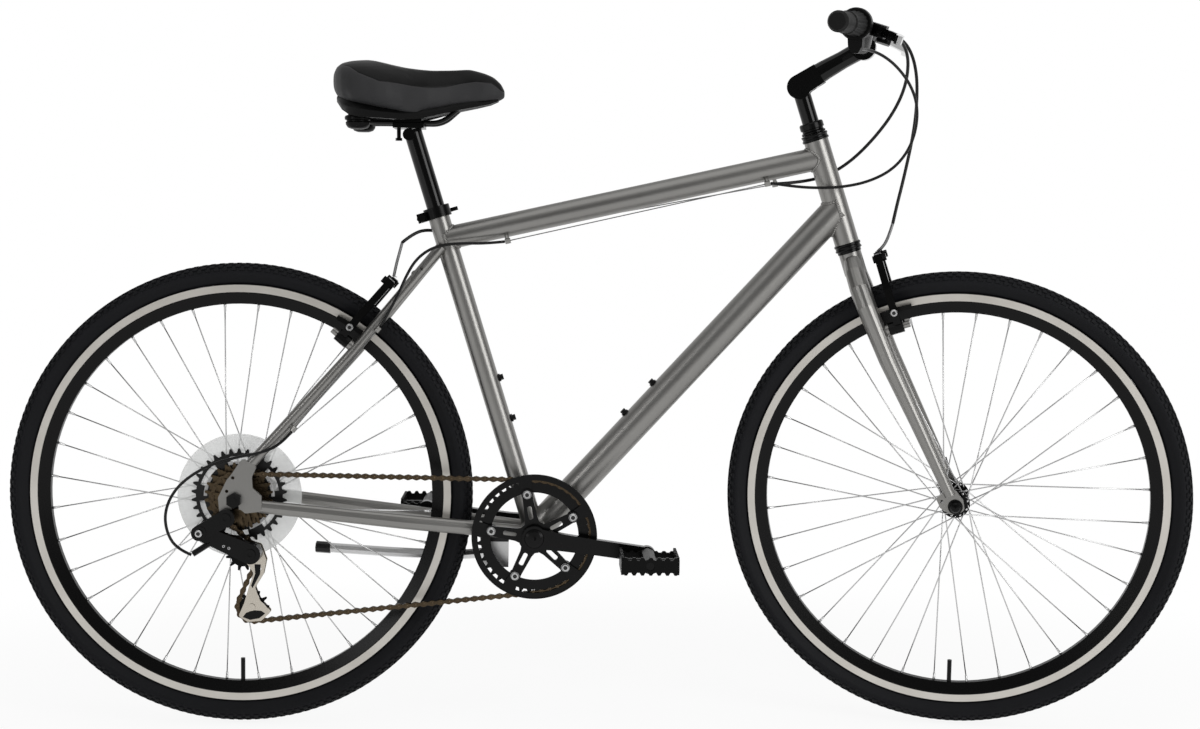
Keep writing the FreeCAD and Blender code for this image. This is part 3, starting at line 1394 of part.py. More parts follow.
def make_seatpost():
    top = on_seat(seatpost_head)
    post = rod(on_seat(seatpost_head - seatpost_length), top, seatpost_od / 2)
    head_at = V(top.x - 4, 0, rail_height - 17)
    head = rod(head_at - Y_AXIS * 17, head_at + Y_AXIS * 17, 9.0)
    parts["seatpost"] = fused([post, head])
    cradle_low = rail_height - 7.8
    lower = Part.makeBox(46, 56, 7.2, V(head_at.x - 23, -28, cradle_low))
    upper = Part.makeBox(40, 56, 6.0, V(head_at.x - 20, -28, rail_height + 0.4))
    grooves = [rod(saddle_at + V(-155, side * rail_spread, 0), saddle_at + V(65, side * rail_spread, 0),
                   rail_radius + weld_gap) for side in (1, -1)]
    bolt = prism(V(head_at.x - 16, 0, rail_height - 22), V(head_at.x - 16, 0, rail_height + 8), 3.0)
    clear = rod(head_at - Y_AXIS * 18, head_at + Y_AXIS * 18, 9.0 + weld_gap)
    lower = lower.cut(bolt).cut(clear).cut(grooves[0]).cut(grooves[1])
    upper = upper.cut(bolt).cut(grooves[0]).cut(grooves[1])
    nut = prism(V(head_at.x - 16, 0, rail_height - 26), V(head_at.x - 16, 0, cradle_low - 14.0), 5.0)
    post_room = parts["seatpost"]
    parts["saddle_clamp"] = group([lower.cut(post_room), upper, fused([bolt, nut]).cut(post_room)])


# Saddle outline from the rails' middle: station along it, half width, heights of top and lower edge
saddle_stations = [(-110, 52, 76, 39), (-90, 86, 89, 28), (-50, 101, 92, 21), (-10, 82, 85, 17),
                   (30, 45, 80, 21), (95, 27, 82, 35), (123, 18, 72, 42), (132, 8, 58, 48)]
# One side of the cushion's section, foot to crown: share of the half width, share of the height
cushion_side = [(0.82, 0.0), (0.95, 0.16), (1.0, 0.36), (0.985, 0.52), (0.93, 0.64), (0.82, 0.76),
                (0.66, 0.86), (0.46, 0.93), (0.24, 0.98)]


def saddle_section(along, half, top, low):
    """Closed section: flat underside, drawn-in sides and a crowned top."""
    left = [V(along, half * out, low + (top - low) * up) for out, up in cushion_side]
    crown = V(along, 0, top)
    right = [V(p.x, -p.y, p.z) for p in reversed(left)]
    corners = [saddle_at + p for p in left + [crown] + right]
    return Part.makePolygon(corners + [corners[0]])


def make_saddle():
    parts["saddle_cushion"] = loft([saddle_section(*station) for station in saddle_stations])
    pan = []
    for along, half, top, low in saddle_stations[:7]:
        width = 0.78 * half
        high = low - saddle_pan_gap
        deep = high - 6.0
        corners = [(width, high), (0.8 * width, deep), (-0.8 * width, deep), (-width, high)]
        corners = [saddle_at + V(along, y, z) for y, z in corners]
        pan.append(Part.makePolygon(corners + [corners[0]]))
    pan_solid = loft(pan)
    bumpers = []
    for side in (1, -1):
        foot = saddle_at + V(-77, side * 42, -10)
        bumpers.append(prism(foot, foot + Z_AXIS * 40, 16.0, 10).cut(pan_solid))
    rail_paths = []
    for side in (1, -1):
        rail_paths.append([saddle_at + V(-77, side * 42, 0), saddle_at + V(-55, side * rail_spread, 0),
                           saddle_at + V(45, side * rail_spread, 0), saddle_at + V(71, side * 15, 22.5)])
    rails = [bent_rod(path, rail_radius, sides=8) for path in rail_paths]
    rail_room = group(rails)
    low_bumpers = [min(bumper.Solids, key=lambda s: s.CenterOfMass.z) for bumper in bumpers]
    parts["saddle_base"] = group([pan_solid.cut(rail_room)] + [b.cut(rail_room) for b in low_bumpers])
    parts["saddle_rails"] = rail_room


def make_seat_collar():
    """Split band with two ears, pulled together by a bolt and a cam lever on the left."""
    back = V(-seat_dir.z, 0, seat_dir.x)
    centre = on_seat(collar_low + 7)
    bolt_at = centre + back * collar_bolt_back
    band = rod(on_seat(collar_low), on_seat(seat_tube_top), collar_radius)
    ears = plate([(15, -11), (15, 11), (31, 10), (31, -10)], centre, back, Y_AXIS, seat_dir, -7, 7)
    slit = plate([(10, -1.2), (10, 1.2), (40, 1.2), (40, -1.2)], centre, back, Y_AXIS, seat_dir, -12, 12)
    bore = rod(on_seat(collar_low - 5), on_seat(seat_tube_top + 5), seat_tube_od / 2 + weld_gap)
    bolt = rod(bolt_at - Y_AXIS * 16, bolt_at + Y_AXIS * 12, 3.0)
    nut = prism(bolt_at - Y_AXIS * 18, bolt_at - Y_AXIS * 10.3, 7.0)
    seat = plate([(19, 10), (19, 12.5), (31, 12.5), (31, 10)], centre, back, Y_AXIS, seat_dir, -5.5, 5.5)
    cam_ears = [plate([(20, 12), (20, 21), (30, 21), (30, 12)], centre, back, Y_AXIS, seat_dir, low, low + 2)
                for low in (-5.3, 3.3)]
    pin = rod(collar_pivot() - seat_dir * 5, collar_pivot() + seat_dir * 5, 2.0)
    parts["seat_collar"] = fused([fused([band, ears]).cut(slit).cut(bore), bolt, nut, seat, pin] + cam_ears)
    eye = rod(collar_pivot() - seat_dir * 2.9, collar_pivot() + seat_dir * 2.9, 4.4)
    blade_outline = [(28, 14.5), (29, 20.5), (14, 26), (-8, 27.5), (-30, 26.5), (-30, 22.5), (-8, 22.8),
                     (10, 22.2), (22, 14.5)]
    blade = plate(blade_outline, centre, back, Y_AXIS, seat_dir, -2.9, 2.9)
    lever_bore = rod(collar_pivot() - seat_dir * 9, collar_pivot() + seat_dir * 9, 2.0 + running_gap)
    parts["seat_collar_lever"] = fused([eye, blade]).cut(lever_bore)


def collar_pivot():
    """Middle of the cam lever's pin, behind the seat tube on the left."""
    back = V(-seat_dir.z, 0, seat_dir.x)
    return on_seat(collar_low + 7) + back * collar_bolt_back + Y_AXIS * 17.5


# Kickstand

stand_pivot = V(385, 30, 256.0)


def make_kickstand():
    middle = V(stand_pivot.x, 0, stand_pivot.z)
    outline = [(-19, -16), (-19, 30), (-23, 38), (-23, 48), (23, 44), (23, 34), (19, 24), (19, -16)]
    bracket = plate(outline, middle, X_AXIS, Z_AXIS, Y_AXIS, -12, 14)
    tie_outline = [(-21, 39), (-21, 47), (21, 43), (21, 35)]
    tie = plate(tie_outline, middle, X_AXIS, Z_AXIS, Y_AXIS, -34, 34)
    bracket = fused([bracket, tie]).cut(parts["chain_stays"]).cut(shell_envelope())
    bracket = max(bracket.Solids, key=lambda solid: solid.Volume)
    pin = rod(V(stand_pivot.x, 12, stand_pivot.z), V(stand_pivot.x, 44, stand_pivot.z), 6.0)
    parts["kickstand_bracket"] = fused([bracket, pin])
    hub = ring(V(stand_pivot.x, 0, stand_pivot.z), Y_AXIS, 14.3, 40, 12.0, 6.0 + running_gap)
    path = [stand_pivot + V(*step) for step in [(-8, 0, 0), (-55, 6, -6), (-145, 16, -5), (-259, 28, 0)]]
    leg = bent_rod(path, 7.5, sides=8)
    room = rod(V(stand_pivot.x, 0, stand_pivot.z), V(stand_pivot.x, 60, stand_pivot.z), 6.0 + running_gap)
    foot = prism(path[-1], path[-1] + V(-22, 2.3, 1), 9.0, 8)
    leg = fused([hub, leg]).cut(room)
    parts["kickstand_leg"] = group([leg, foot.cut(leg)])


# Cables


def report_bends(name, points):
    radii = [r for r in easy_radii(points) if r > 0]
    print("%s bend radii %.0f to %.0f mm" % (name, min(radii), max(radii)))


def cable(points, radius):
    return bent_rod(points, radius, sides=cable_sides)


def make_cables():
    for name, points in [("shift_front", shift_front), ("rear_brake_front", rear_brake_front),
                         ("front_brake_front", front_brake_front), ("shift_rear", shift_rear),
                         ("derailleur_loop", derailleur_loop), ("rear_brake_rear", rear_brake_rear)]:
        report_bends(name, points)
    parts["control_cables"] = group([cable(shift_front, shift_housing_radius),
                                     cable(rear_brake_front, housing_radius),
                                     cable(front_brake_front, housing_radius),
                                     cable(front_noodle, noodle_radius),
                                     prism(*front_link_wire, wire_radius)])
    shift_wire = prism(shift_front[-1], shift_rear[0], wire_radius)
    stay_wire = prism(shift_rear[-1], derailleur_loop[0], wire_radius)
    brake_wire = prism(rear_brake_front[-1], rear_brake_rear[0], wire_radius)
    parts["frame_cables"] = group([shift_wire, cable(shift_rear, shift_housing_radius), stay_wire,
                                   cable(derailleur_loop, shift_housing_radius), brake_wire,
                                   cable(rear_brake_rear, housing_radius),
                                   cable(rear_noodle, noodle_radius),
                                   prism(*rear_link_wire, wire_radius)])


def cap_screw(foot, outward):
    """Screw head on a wide washer."""
    return prism(foot, foot + outward * 2.5, 6.0, 10).fuse(prism(foot, foot + outward * 7, 4.4))


def make_bottle_bolts():
    """Cap screws on the frame's bottle bosses."""
    screws = []
    ahead_of_seat = V(seat_dir.z, 0, -seat_dir.x)
    for distance in (176.0, 240.0):
        foot = on_seat(distance) + ahead_of_seat * (seat_tube_od / 2 + weld_gap)
        screws.append(cap_screw(foot, ahead_of_seat))
    down_dir = unit(on_fork(down_tube_on_head, 0) - bb)
    above_down = V(-down_dir.z, 0, down_dir.x)
    for distance in (226.0, 288.0):
        foot = bb + down_dir * distance + above_down * (down_tube_od / 2 + weld_gap)
        screws.append(cap_screw(foot, above_down))
    parts["bottle_bolts"] = group(screws)


make_main_tubes()
make_rear_triangle()
make_wheels()
make_axles()
make_fork()
make_headset()
make_stem()
make_handlebar()
make_controls()
make_brakes()
chain_loop, chain_pins = closed_chain()
make_chain(chain_loop, chain_pins)
make_sprockets(chain_loop, chain_pins)
make_crank(chain_loop, chain_pins)
make_pedals()
make_derailleur(chain_loop, chain_pins)
make_seatpost()
make_saddle()
make_seat_collar()
make_kickstand()
make_cables()
make_bottle_bolts()

os.makedirs("parts", exist_ok=True)
for name, shape in parts.items():
    shape.exportStep("parts/%s.step" % name)
print(len(parts), "nodes written")
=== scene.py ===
# %% [markdown]
# # A hybrid bicycle
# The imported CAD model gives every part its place. This notebook adds the looks: materials made from nodes, tyres
# with tread blocks, laced spokes, a chain of real links, smooth cables, a padded saddle on its pan, weld beads,
# socket screws and the inlays of the gear mechanism.

# %% Load the frame
import json
import math

import bmesh
import bpy
import numpy as np
from mathutils import Matrix, Vector


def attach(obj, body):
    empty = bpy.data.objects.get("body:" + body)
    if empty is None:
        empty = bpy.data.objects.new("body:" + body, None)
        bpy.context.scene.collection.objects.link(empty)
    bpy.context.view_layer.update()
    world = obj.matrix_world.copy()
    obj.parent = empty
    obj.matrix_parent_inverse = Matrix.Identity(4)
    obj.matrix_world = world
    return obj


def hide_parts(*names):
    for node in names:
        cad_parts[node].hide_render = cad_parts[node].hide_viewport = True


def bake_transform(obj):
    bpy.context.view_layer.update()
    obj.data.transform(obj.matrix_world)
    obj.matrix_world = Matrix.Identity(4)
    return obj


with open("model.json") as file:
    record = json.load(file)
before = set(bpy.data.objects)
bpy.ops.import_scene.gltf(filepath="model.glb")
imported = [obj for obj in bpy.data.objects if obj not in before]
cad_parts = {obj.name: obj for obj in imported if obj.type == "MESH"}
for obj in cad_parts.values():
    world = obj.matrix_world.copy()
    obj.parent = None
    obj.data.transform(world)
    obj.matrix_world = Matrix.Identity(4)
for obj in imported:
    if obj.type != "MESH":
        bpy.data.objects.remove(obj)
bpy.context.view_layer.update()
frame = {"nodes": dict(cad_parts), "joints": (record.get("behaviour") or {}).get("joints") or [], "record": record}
nodes = frame["nodes"]
joints = {joint["name"]: joint for joint in frame["joints"]}
node_slots = {part["node"]: part["material_slot"] for part in frame["record"]["subparts"]}
MM = 0.001
FULL_TURN = 2 * math.pi

# %% [markdown]
# ## Camera
# The photograph was taken from the drive side, a little above the hubs. A camera could be aimed by eye, but the
# place, angles and focal length here were solved from points in the photograph, so that parts land where they do
# there. The focal length is in pixels of the photograph, and the sensor's width turns it into a lens.

# %% Camera
camera_place = Vector((0.46585, -2.7630, 0.75235))
yaw, pitch, roll = (math.radians(angle) for angle in (-1.54483, -4.19887, -0.63828))
focal_pixels, photo_width = 1826.45, 1200.0
sensor_width = 36.0

scene = bpy.context.scene
scene.view_settings.view_transform = "Standard"
turn = Matrix.Rotation(yaw, 3, "Z") @ Matrix.Rotation(pitch, 3, "X") @ Matrix.Rotation(roll, 3, "Y")
right, ahead, up = turn.col[0], turn.col[1], turn.col[2]
camera_data = bpy.data.cameras.new("camera")
camera_data.sensor_width = sensor_width
camera_data.lens = sensor_width * focal_pixels / photo_width
camera = bpy.data.objects.new("camera", camera_data)
pose = Matrix((right, up, -ahead)).transposed().to_4x4()
pose.translation = camera_place
camera.matrix_world = pose
scene.collection.objects.link(camera)
scene.camera = camera
print("lens", round(camera_data.lens, 2))

# %% [markdown]
# ## Writing shaders as formulas
# A material is a tree of nodes, and wiring it by hand hides what it says. A Wire is one output of a node. Adding or
# multiplying wires makes the maths nodes, so that a material reads like the formula it is.

# %% Wires
class Wire:
    """One output socket, used in formulas; a plain number may stand on either side."""

    def __init__(self, tree, socket):
        self.tree = tree
        self.socket = socket

    def calculate(self, operation, first, second=0.0):
        return self.tree.node("ShaderNodeMath", {0: first, 1: second}, {"operation": operation})

    def __add__(self, other):
        return self.calculate("ADD", self, other)

    def __radd__(self, other):
        return self.calculate("ADD", other, self)

    def __sub__(self, other):
        return self.calculate("SUBTRACT", self, other)

    def __rsub__(self, other):
        return self.calculate("SUBTRACT", other, self)

    def __mul__(self, other):
        return self.calculate("MULTIPLY", self, other)

    def __rmul__(self, other):
        return self.calculate("MULTIPLY", other, self)

    def root(self):
        return self.calculate("SQRT", self)

    def size(self):
        return self.calculate("ABSOLUTE", self)

    def wave(self):
        return self.calculate("SINE", self)

    def ramp(self, low, high):
        """Smooth step from 0 at low to 1 at high."""
        inputs = {"Value": self, "From Min": low, "From Max": high}
        return self.tree.node("ShaderNodeMapRange", inputs, {"interpolation_type": "SMOOTHSTEP"})


# %% [markdown]
# A Tree has one method that adds any node, so every tree in this file, of materials and of shapes, is built the same
# way. A Paint is the tree of one material and feeds its principled surface.

# %% Trees and paints
class Tree:
    """A tree of nodes, and the one way that nodes get into it."""

    def __init__(self, tree):
        self.tree = tree

    def node(self, kind, inputs=None, settings=None, output=0):
        """Add a node: its settings first, then the values or wires of its sockets."""
        made = self.tree.nodes.new(kind)
        for name, value in (settings or {}).items():
            setattr(made, name, value)
        for name, value in (inputs or {}).items():
            self.feed(made.inputs[name], value)
        return Wire(self, made.outputs[output]) if len(made.outputs) else None

    def feed(self, socket, value):
        if isinstance(value, Wire):
            self.tree.links.new(value.socket, socket)
        else:
            socket.default_value = value

    def part(self, place, axis):
        """The X, Y or Z of a vector."""
        return self.node("ShaderNodeSeparateXYZ", {"Vector": place}, output=axis)


class Paint(Tree):
    """One material with a principled surface."""

    def __init__(self, name):
        self.material = bpy.data.materials.new(name)
        self.material.use_nodes = True
        super().__init__(self.material.node_tree)
        self.surface = self.tree.nodes["Principled BSDF"]

    def coat(self, **inputs):
        """Feed the principled surface; an underscore stands for a space in a socket's name."""
        for name, value in inputs.items():
            self.feed(self.surface.inputs[name.replace("_", " ")], value)

    def place(self):
        return self.node("ShaderNodeTexCoord", output="Object")

    def noise(self, place, scale, detail=2.0):
        return self.node("ShaderNodeTexNoise", {"Vector": place, "Scale": scale, "Detail": detail})

    def cells(self, place, scale):
        return self.node("ShaderNodeTexVoronoi", {"Vector": place, "Scale": scale})

    def attribute(self, name):
        return self.node("ShaderNodeAttribute", settings={"attribute_name": name}, output="Fac")

    def mix(self, factor, first, second):
        """A colour between two, through the colour sockets of a Mix node."""
        return self.node("ShaderNodeMix", {0: factor, 6: first, 7: second}, {"data_type": "RGBA"}, output=2)

    def bump(self, height, distance, strength):
        return self.node("ShaderNodeBump", {"Height": height, "Distance": distance, "Strength": strength})


def shade(value):
    """A grey from one number, or a colour from three, as a socket wants it."""
    colour = value if isinstance(value, tuple) else (value, value, value)
    return (*colour, 1.0)


# %% [markdown]
# ## Paint and metal
# Most parts are black: gloss on the posts, satin on castings, matt on plastic. The frame is a warm grey metallic. Each
# could be one flat colour, but real surfaces drift a little in colour and in gloss. Two noises, one wide and one fine,
# give that drift, and one function serves all the finishes that differ only in its numbers.

# %% Painted and metal finishes
def finish(name, dark, light, roughness, metallic=0.0, shine=0.5, grain=900.0, depth=0.00002):
    """A surface whose colour and roughness drift slowly, with a fine grain in its reflections."""
    spread = 0.08
    paint = Paint(name)
    place = paint.place()
    drift = paint.noise(place, scale=9.0, detail=3.0)
    fine = paint.noise(place, scale=grain)
    paint.coat(Base_Color=paint.mix(drift * 0.6 + fine * 0.4, shade(dark), shade(light)),
               Roughness=roughness + (drift - 0.5) * spread + (fine - 0.5) * spread,
               Normal=paint.bump(fine, distance=depth, strength=0.4),
               Metallic=metallic, Specular_IOR_Level=shine)
    return paint.material


def frame_paint():
    """Warm grey metallic: a slow drift of flakes under a satin lacquer."""
    dark_flake, light_flake = (0.215, 0.211, 0.202), (0.285, 0.280, 0.268)
    paint = Paint("frame_paint")
    place = paint.place()
    drift = paint.noise(place, scale=6.0, detail=3.0)
    fleck = paint.noise(place, scale=240.0)
    paint.coat(Base_Color=paint.mix(drift * 0.8 + fleck * 0.2, shade(dark_flake), shade(light_flake)),
               Roughness=0.31 + fleck * 0.02 + drift * 0.06, Metallic=0.92)
    return paint.material


looks = {
    "frame_paint": frame_paint(),
    "gloss_black": finish("gloss_black", 0.0010, 0.0022, 0.12, shine=0.26),
    "black_alloy": finish("black_alloy", 0.0012, 0.0028, 0.24, shine=0.13),
    "black_metal": finish("black_metal", 0.0012, 0.0028, 0.24, shine=0.16),
    "black_plastic": finish("black_plastic", 0.0018, 0.0042, 0.38, shine=0.10, grain=1400.0, depth=0.00005),
    "steel": finish("steel", 0.38, 0.54, 0.26, metallic=1.0),
    "wire_steel": finish("wire_steel", 0.14, 0.24, 0.30, metallic=1.0),
    "polished": finish("polished", 0.30, 0.42, 0.14, metallic=1.0),
    "spoke_steel": finish("spoke_steel", 0.48, 0.62, 0.24, metallic=1.0),
    "chain_steel": finish("chain_steel", (0.016, 0.011, 0.007), (0.12, 0.088, 0.054), 0.24, metallic=0.95,
                          grain=420.0),
    "cage_alloy": finish("cage_alloy", (0.46, 0.42, 0.36), (0.60, 0.56, 0.49), 0.26, metallic=0.95),
    "cable_black": finish("cable_black", 0.003, 0.006, 0.28, shine=0.25),
    "saddle_cover": finish("saddle_plain", 0.010, 0.016, 0.45, shine=0.3),
}
print("finishes", len(looks))

# %% [markdown]
# ## Wheel finishes
# The rims are black with a bare machined band where the brake pads run, and the largest sprocket is black with five
# long windows. Both could be painted on an unwrapped map. Here the colour follows the distance from the hub instead,
# which needs no map. The front wheel is parked turned, so its distance is measured from its own axis.

# %% Rims and sprockets
# Each pair is where an edge starts and where it ends, in metres: radii, or offsets along the axle.
band_inner, band_outer, band_side = (0.3050, 0.3055), (0.3160, 0.3164), (0.0100, 0.0108)
largest_sprocket = (-0.0318, -0.0312)
window_inner, window_outer, window_count = (0.0478, 0.0482), (0.0528, 0.0532), 5.0


def from_hub(paint, joint_name):
    """Distance from a wheel's axis and offset along it, from the joint that the wheel turns on."""
    hub = tuple(joints[joint_name]["pos_m"])
    axis = tuple(Vector(joints[joint_name]["axis"]).normalized())
    moved = paint.node("ShaderNodeVectorMath", {0: paint.place(), 1: hub}, {"operation": "SUBTRACT"})
    offset = paint.node("ShaderNodeVectorMath", {0: moved, 1: axis}, {"operation": "DOT_PRODUCT"}, "Value")
    length = paint.node("ShaderNodeVectorMath", {0: moved}, {"operation": "LENGTH"}, "Value")
    return (length * length - offset * offset).root(), offset


def rim_paint(name, joint_name):
    """Black rim with a bare brake band, whose fine turned lines follow the rim."""
    turned_lines = 9000.0
    paint = Paint(name)
    radius, offset = from_hub(paint, joint_name)
    place = paint.place()
    fine = paint.noise(place, scale=700.0)
    streaks = paint.noise(place, scale=14.0, detail=3.0)
    band = radius.ramp(*band_inner) * (1.0 - radius.ramp(*band_outer)) * offset.size().ramp(*band_side)
    bare = paint.mix(fine * 0.1 + streaks * 0.9, shade((0.50, 0.475, 0.43)), shade((0.74, 0.715, 0.67)))
    lines = (radius * turned_lines).wave()
    paint.coat(Base_Color=paint.mix(band, shade(0.002), bare), Metallic=band * 0.9,
               Roughness=0.26 + band * 0.14 + fine * 0.03, Specular_IOR_Level=0.15,
               Normal=paint.bump(lines * band, distance=0.00001, strength=0.15))
    return paint.material


def sprocket_paint():
    """Bronzed steel cogs; the largest is black and its windows show the pale disc behind it."""
    paint = Paint("sprocket_steel")
    place = paint.place()
    radius, _ = from_hub(paint, "rear_wheel_spin")
    largest = paint.part(place, "Y").ramp(*largest_sprocket)
    fine = paint.noise(place, scale=420.0)
    wear = paint.noise(place, scale=90.0, detail=3.0)
    height = paint.part(place, "Z") - joints["rear_wheel_spin"]["pos_m"][2]
    angle = height.calculate("ARCTAN2", height, paint.part(place, "X"))
    window = radius.ramp(*window_inner) * (1.0 - radius.ramp(*window_outer))
    window = window * (angle * window_count).wave().ramp(-0.1, 0.0)
    brown = paint.mix(fine * 0.5 + wear * 0.5, shade((0.014, 0.010, 0.006)), shade((0.15, 0.110, 0.066)))
    black = paint.mix(window, shade(0.005), shade(0.62))
    paint.coat(Base_Color=paint.mix(largest, brown, black), Metallic=0.95 - largest * 0.95,
               Roughness=0.28 + fine * 0.12, Specular_IOR_Level=0.3,
               Normal=paint.bump(fine, distance=0.00003, strength=0.4))
    return paint.material


looks["rear_rim"] = rim_paint("rear_rim_paint", "rear_wheel_spin")
looks["front_rim"] = rim_paint("front_rim_paint", "front_wheel_spin")
looks["sprocket_steel"] = sprocket_paint()
print("brake band from", band_inner[0], "to", band_outer[0], "m")

# %% [markdown]
# ## Rubber, clear plastic and two-tone parts
# The tyres are dusty rubber and the grips are ribbed. A cloudy clear disc guards the rear spokes. The kickstand is bare
# alloy with a black foot and a black clamp. Each colour edge there is a plain plane, so one measure along an axis is
# enough to split the part.

# %% Rubber, clear plastic and two-tone parts
def rubber(name, dark, light, rib_rate=0.0):
    """Rubber with a dusty grain; rib_rate is that of a wave along Y, in radians to a metre."""
    paint = Paint(name)
    place = paint.place()
    dust = paint.noise(place, scale=35.0, detail=4.0)
    grain = paint.noise(place, scale=1600.0)
    lines = (paint.part(place, "Y") * rib_rate).wave() if rib_rate else grain
    rib_depth = 0.00025 if rib_rate else 0.00006
    paint.coat(Base_Color=paint.mix(dust, shade(dark), shade(light)), Roughness=0.50 + dust * 0.2,
               Normal=paint.bump(lines * 0.7 + grain * 0.3, distance=rib_depth, strength=0.6),
               Specular_IOR_Level=0.14)
    return paint.material


def clear_plastic():
    """Cloudy clear plastic with faint turned rings."""
    ring_rate = 900.0
    paint = Paint("clear_plastic")
    haze = paint.noise(paint.place(), scale=40.0, detail=3.0)
    radius, _ = from_hub(paint, "rear_wheel_spin")
    lines = (radius * ring_rate).wave()
    paint.coat(Base_Color=paint.mix(haze, shade((0.74, 0.75, 0.74)), shade((0.86, 0.87, 0.86))),
               Roughness=0.16 + haze * 0.1, Alpha=0.42 + haze * 0.14,
               Normal=paint.bump(lines, distance=0.0001, strength=0.3))
    return paint.material


def two_tone(name, axis, edge, below, above):
    """One (grey, metallic) below an edge along X, Y or Z, another above it."""
    blur = 0.0003
    paint = Paint(name)
    place = paint.place()
    side = paint.part(place, axis).ramp(edge - blur, edge + blur)
    fine = paint.noise(place, scale=800.0)
    tints = [paint.mix(fine, shade(grey * 0.85), shade(grey * 1.1)) for grey, _ in (below, above)]
    paint.coat(Base_Color=paint.mix(side, *tints), Metallic=below[1] + side * (above[1] - below[1]),
               Roughness=0.28 + fine * 0.08, Specular_IOR_Level=0.3,
               Normal=paint.bump(fine, distance=0.00002, strength=0.4))
    return paint.material


looks["tyre_rubber"] = rubber("tyre_rubber", (0.0040, 0.0042, 0.0052), (0.0080, 0.0083, 0.0100))
looks["grip_rubber"] = rubber("grip_rubber", 0.004, 0.0075, rib_rate=1500.0)
looks["clear_plastic"] = clear_plastic()
looks["kickstand_leg"] = two_tone("kickstand_leg", "X", 0.1262, below=(0.007, 0.0), above=(0.66, 1.0))
looks["kickstand_bracket"] = two_tone("kickstand_bracket", "Z", 0.2790, below=(0.62, 1.0), above=(0.006, 0.0))
print("looks", len(looks))

# %% [markdown]
# Every CAD node takes the finish of its material slot, also where a later piece stands for it and hides it. A few
# parts that share a slot look different in the photograph, and those are named here with a finish of their own.

# %% Finishes of the CAD nodes
own_look = {
    "seatpost": "gloss_black", "stem_quill": "gloss_black", "stem_extension": "gloss_black",
    "rear_rim": "rear_rim", "front_rim": "front_rim", "chainring": "black_metal", "chain_guard": "black_metal",
    "chainring_bolts": "steel", "front_axle": "black_metal", "rear_axle": "black_metal",
    "derailleur_body": "black_metal", "right_crank": "black_metal", "left_crank": "black_metal",
    "kickstand_leg": "kickstand_leg", "kickstand_bracket": "kickstand_bracket",
}
for name, node in nodes.items():
    node.data.materials.clear()
    node.data.materials.append(looks[own_look.get(name, node_slots[name])])
print("materials", len(bpy.data.materials))

# %% [markdown]
# ## Meshes from code
# Most pieces here are rings of points joined by quads: tubes, turned parts and lofted shells. A few helpers make such
# rings and faces, join lists of them, and turn them into an object whose faces point outwards.

# %% Mesh helpers
def mesh_object(name, points, faces, material=None, smooth=True):
    mesh = bpy.data.meshes.new(name)
    mesh.from_pydata([tuple(point) for point in points], [], faces)
    mesh.update()
    work = bmesh.new()
    work.from_mesh(mesh)
    bmesh.ops.recalc_face_normals(work, faces=work.faces)
    work.to_mesh(mesh)
    work.free()
    for polygon in mesh.polygons:
        polygon.use_smooth = smooth
    if material:
        mesh.materials.append(material)
    made = bpy.data.objects.new(name, mesh)
    scene.collection.objects.link(made)
    return made


def directions(count):
    """Cosine and sine of evenly spaced angles, once round."""
    return [(math.cos(FULL_TURN * k / count), math.sin(FULL_TURN * k / count)) for k in range(count)]


def grid_faces(rings, columns, closed=False):
    """Quads between rings of points kept ring by ring; a closed grid also joins the last ring to the first."""
    faces = []
    for i in range(rings if closed else rings - 1):
        here, there = i * columns, (i + 1) % rings * columns
        for j in range(columns):
            k = (j + 1) % columns
            faces.append((here + j, here + k, there + k, there + j))
    return faces


def tube_faces(rings, columns):
    """Quads between rings, and a face over each end."""
    last = (rings - 1) * columns
    return grid_faces(rings, columns) + [tuple(range(columns)), tuple(range(last, last + columns))]


def tube(path, radius, sides):
    """Points and faces of a tube round a path, carried along it without twist; radius may be a list."""
    path = [Vector(point) for point in path]
    radii = radius if isinstance(radius, list) else [radius] * len(path)
    points = []
    side = None
    for i, point in enumerate(path):
        heading = (path[min(i + 1, len(path) - 1)] - path[max(i - 1, 0)]).normalized()
        if side is None:
            side = heading.orthogonal().normalized()
        side = (side - heading * side.dot(heading)).normalized()
        other = heading.cross(side)
        points += [point + (side * c + other * s) * radii[i] for c, s in directions(sides)]
    return points, tube_faces(len(path), sides)


def join_lists(lists):
    """Several (points, faces) as one."""
    points, faces = [], []
    for more_points, more_faces in lists:
        base = len(points)
        points.extend(more_points)
        faces.extend(tuple(index + base for index in face) for face in more_faces)
    return points, faces


# %% [markdown]
# Modifiers and node groups are kept only as what they make, because the export wants plain meshes. Each finished piece
# then rides on a body and may stand for a CAD node.

# %% Keeping results
def evaluated_mesh(thing):
    """A new mesh of what Blender shows for an object."""
    bpy.context.view_layer.update()
    return bpy.data.meshes.new_from_object(thing.evaluated_get(bpy.context.evaluated_depsgraph_get()))


def keep_result(piece):
    """Keep what a piece's modifiers make as its plain mesh."""
    mesh, old = evaluated_mesh(piece), piece.data
    piece.modifiers.clear()
    piece.data = mesh
    bpy.data.meshes.remove(old)


def settle(piece, body, node=None):
    """Ride on a body and, where a node is given, stand for that node."""
    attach(piece, body)
    if node:
        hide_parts(node)


# %% [markdown]
# ## Node groups for what repeats
# Tread blocks, spokes, links, beads and screws repeat. Python could copy each one, but a tree of geometry nodes states
# the rule once. One tree sets a shape round a ring, the other sets a shape on points that carry a turn and a size.
# Both end by making their instances real and giving them their material, and the result is kept as a plain mesh.

# %% Node groups
def new_group(name, inputs):
    """A tree of shapes with named inputs and one output."""
    group = bpy.data.node_groups.new(name, "GeometryNodeTree")
    for label, kind in inputs.items():
        group.interface.new_socket(label, in_out="INPUT", socket_type="NodeSocket" + kind)
    group.interface.new_socket("Geometry", in_out="OUTPUT", socket_type="NodeSocketGeometry")
    return Tree(group)


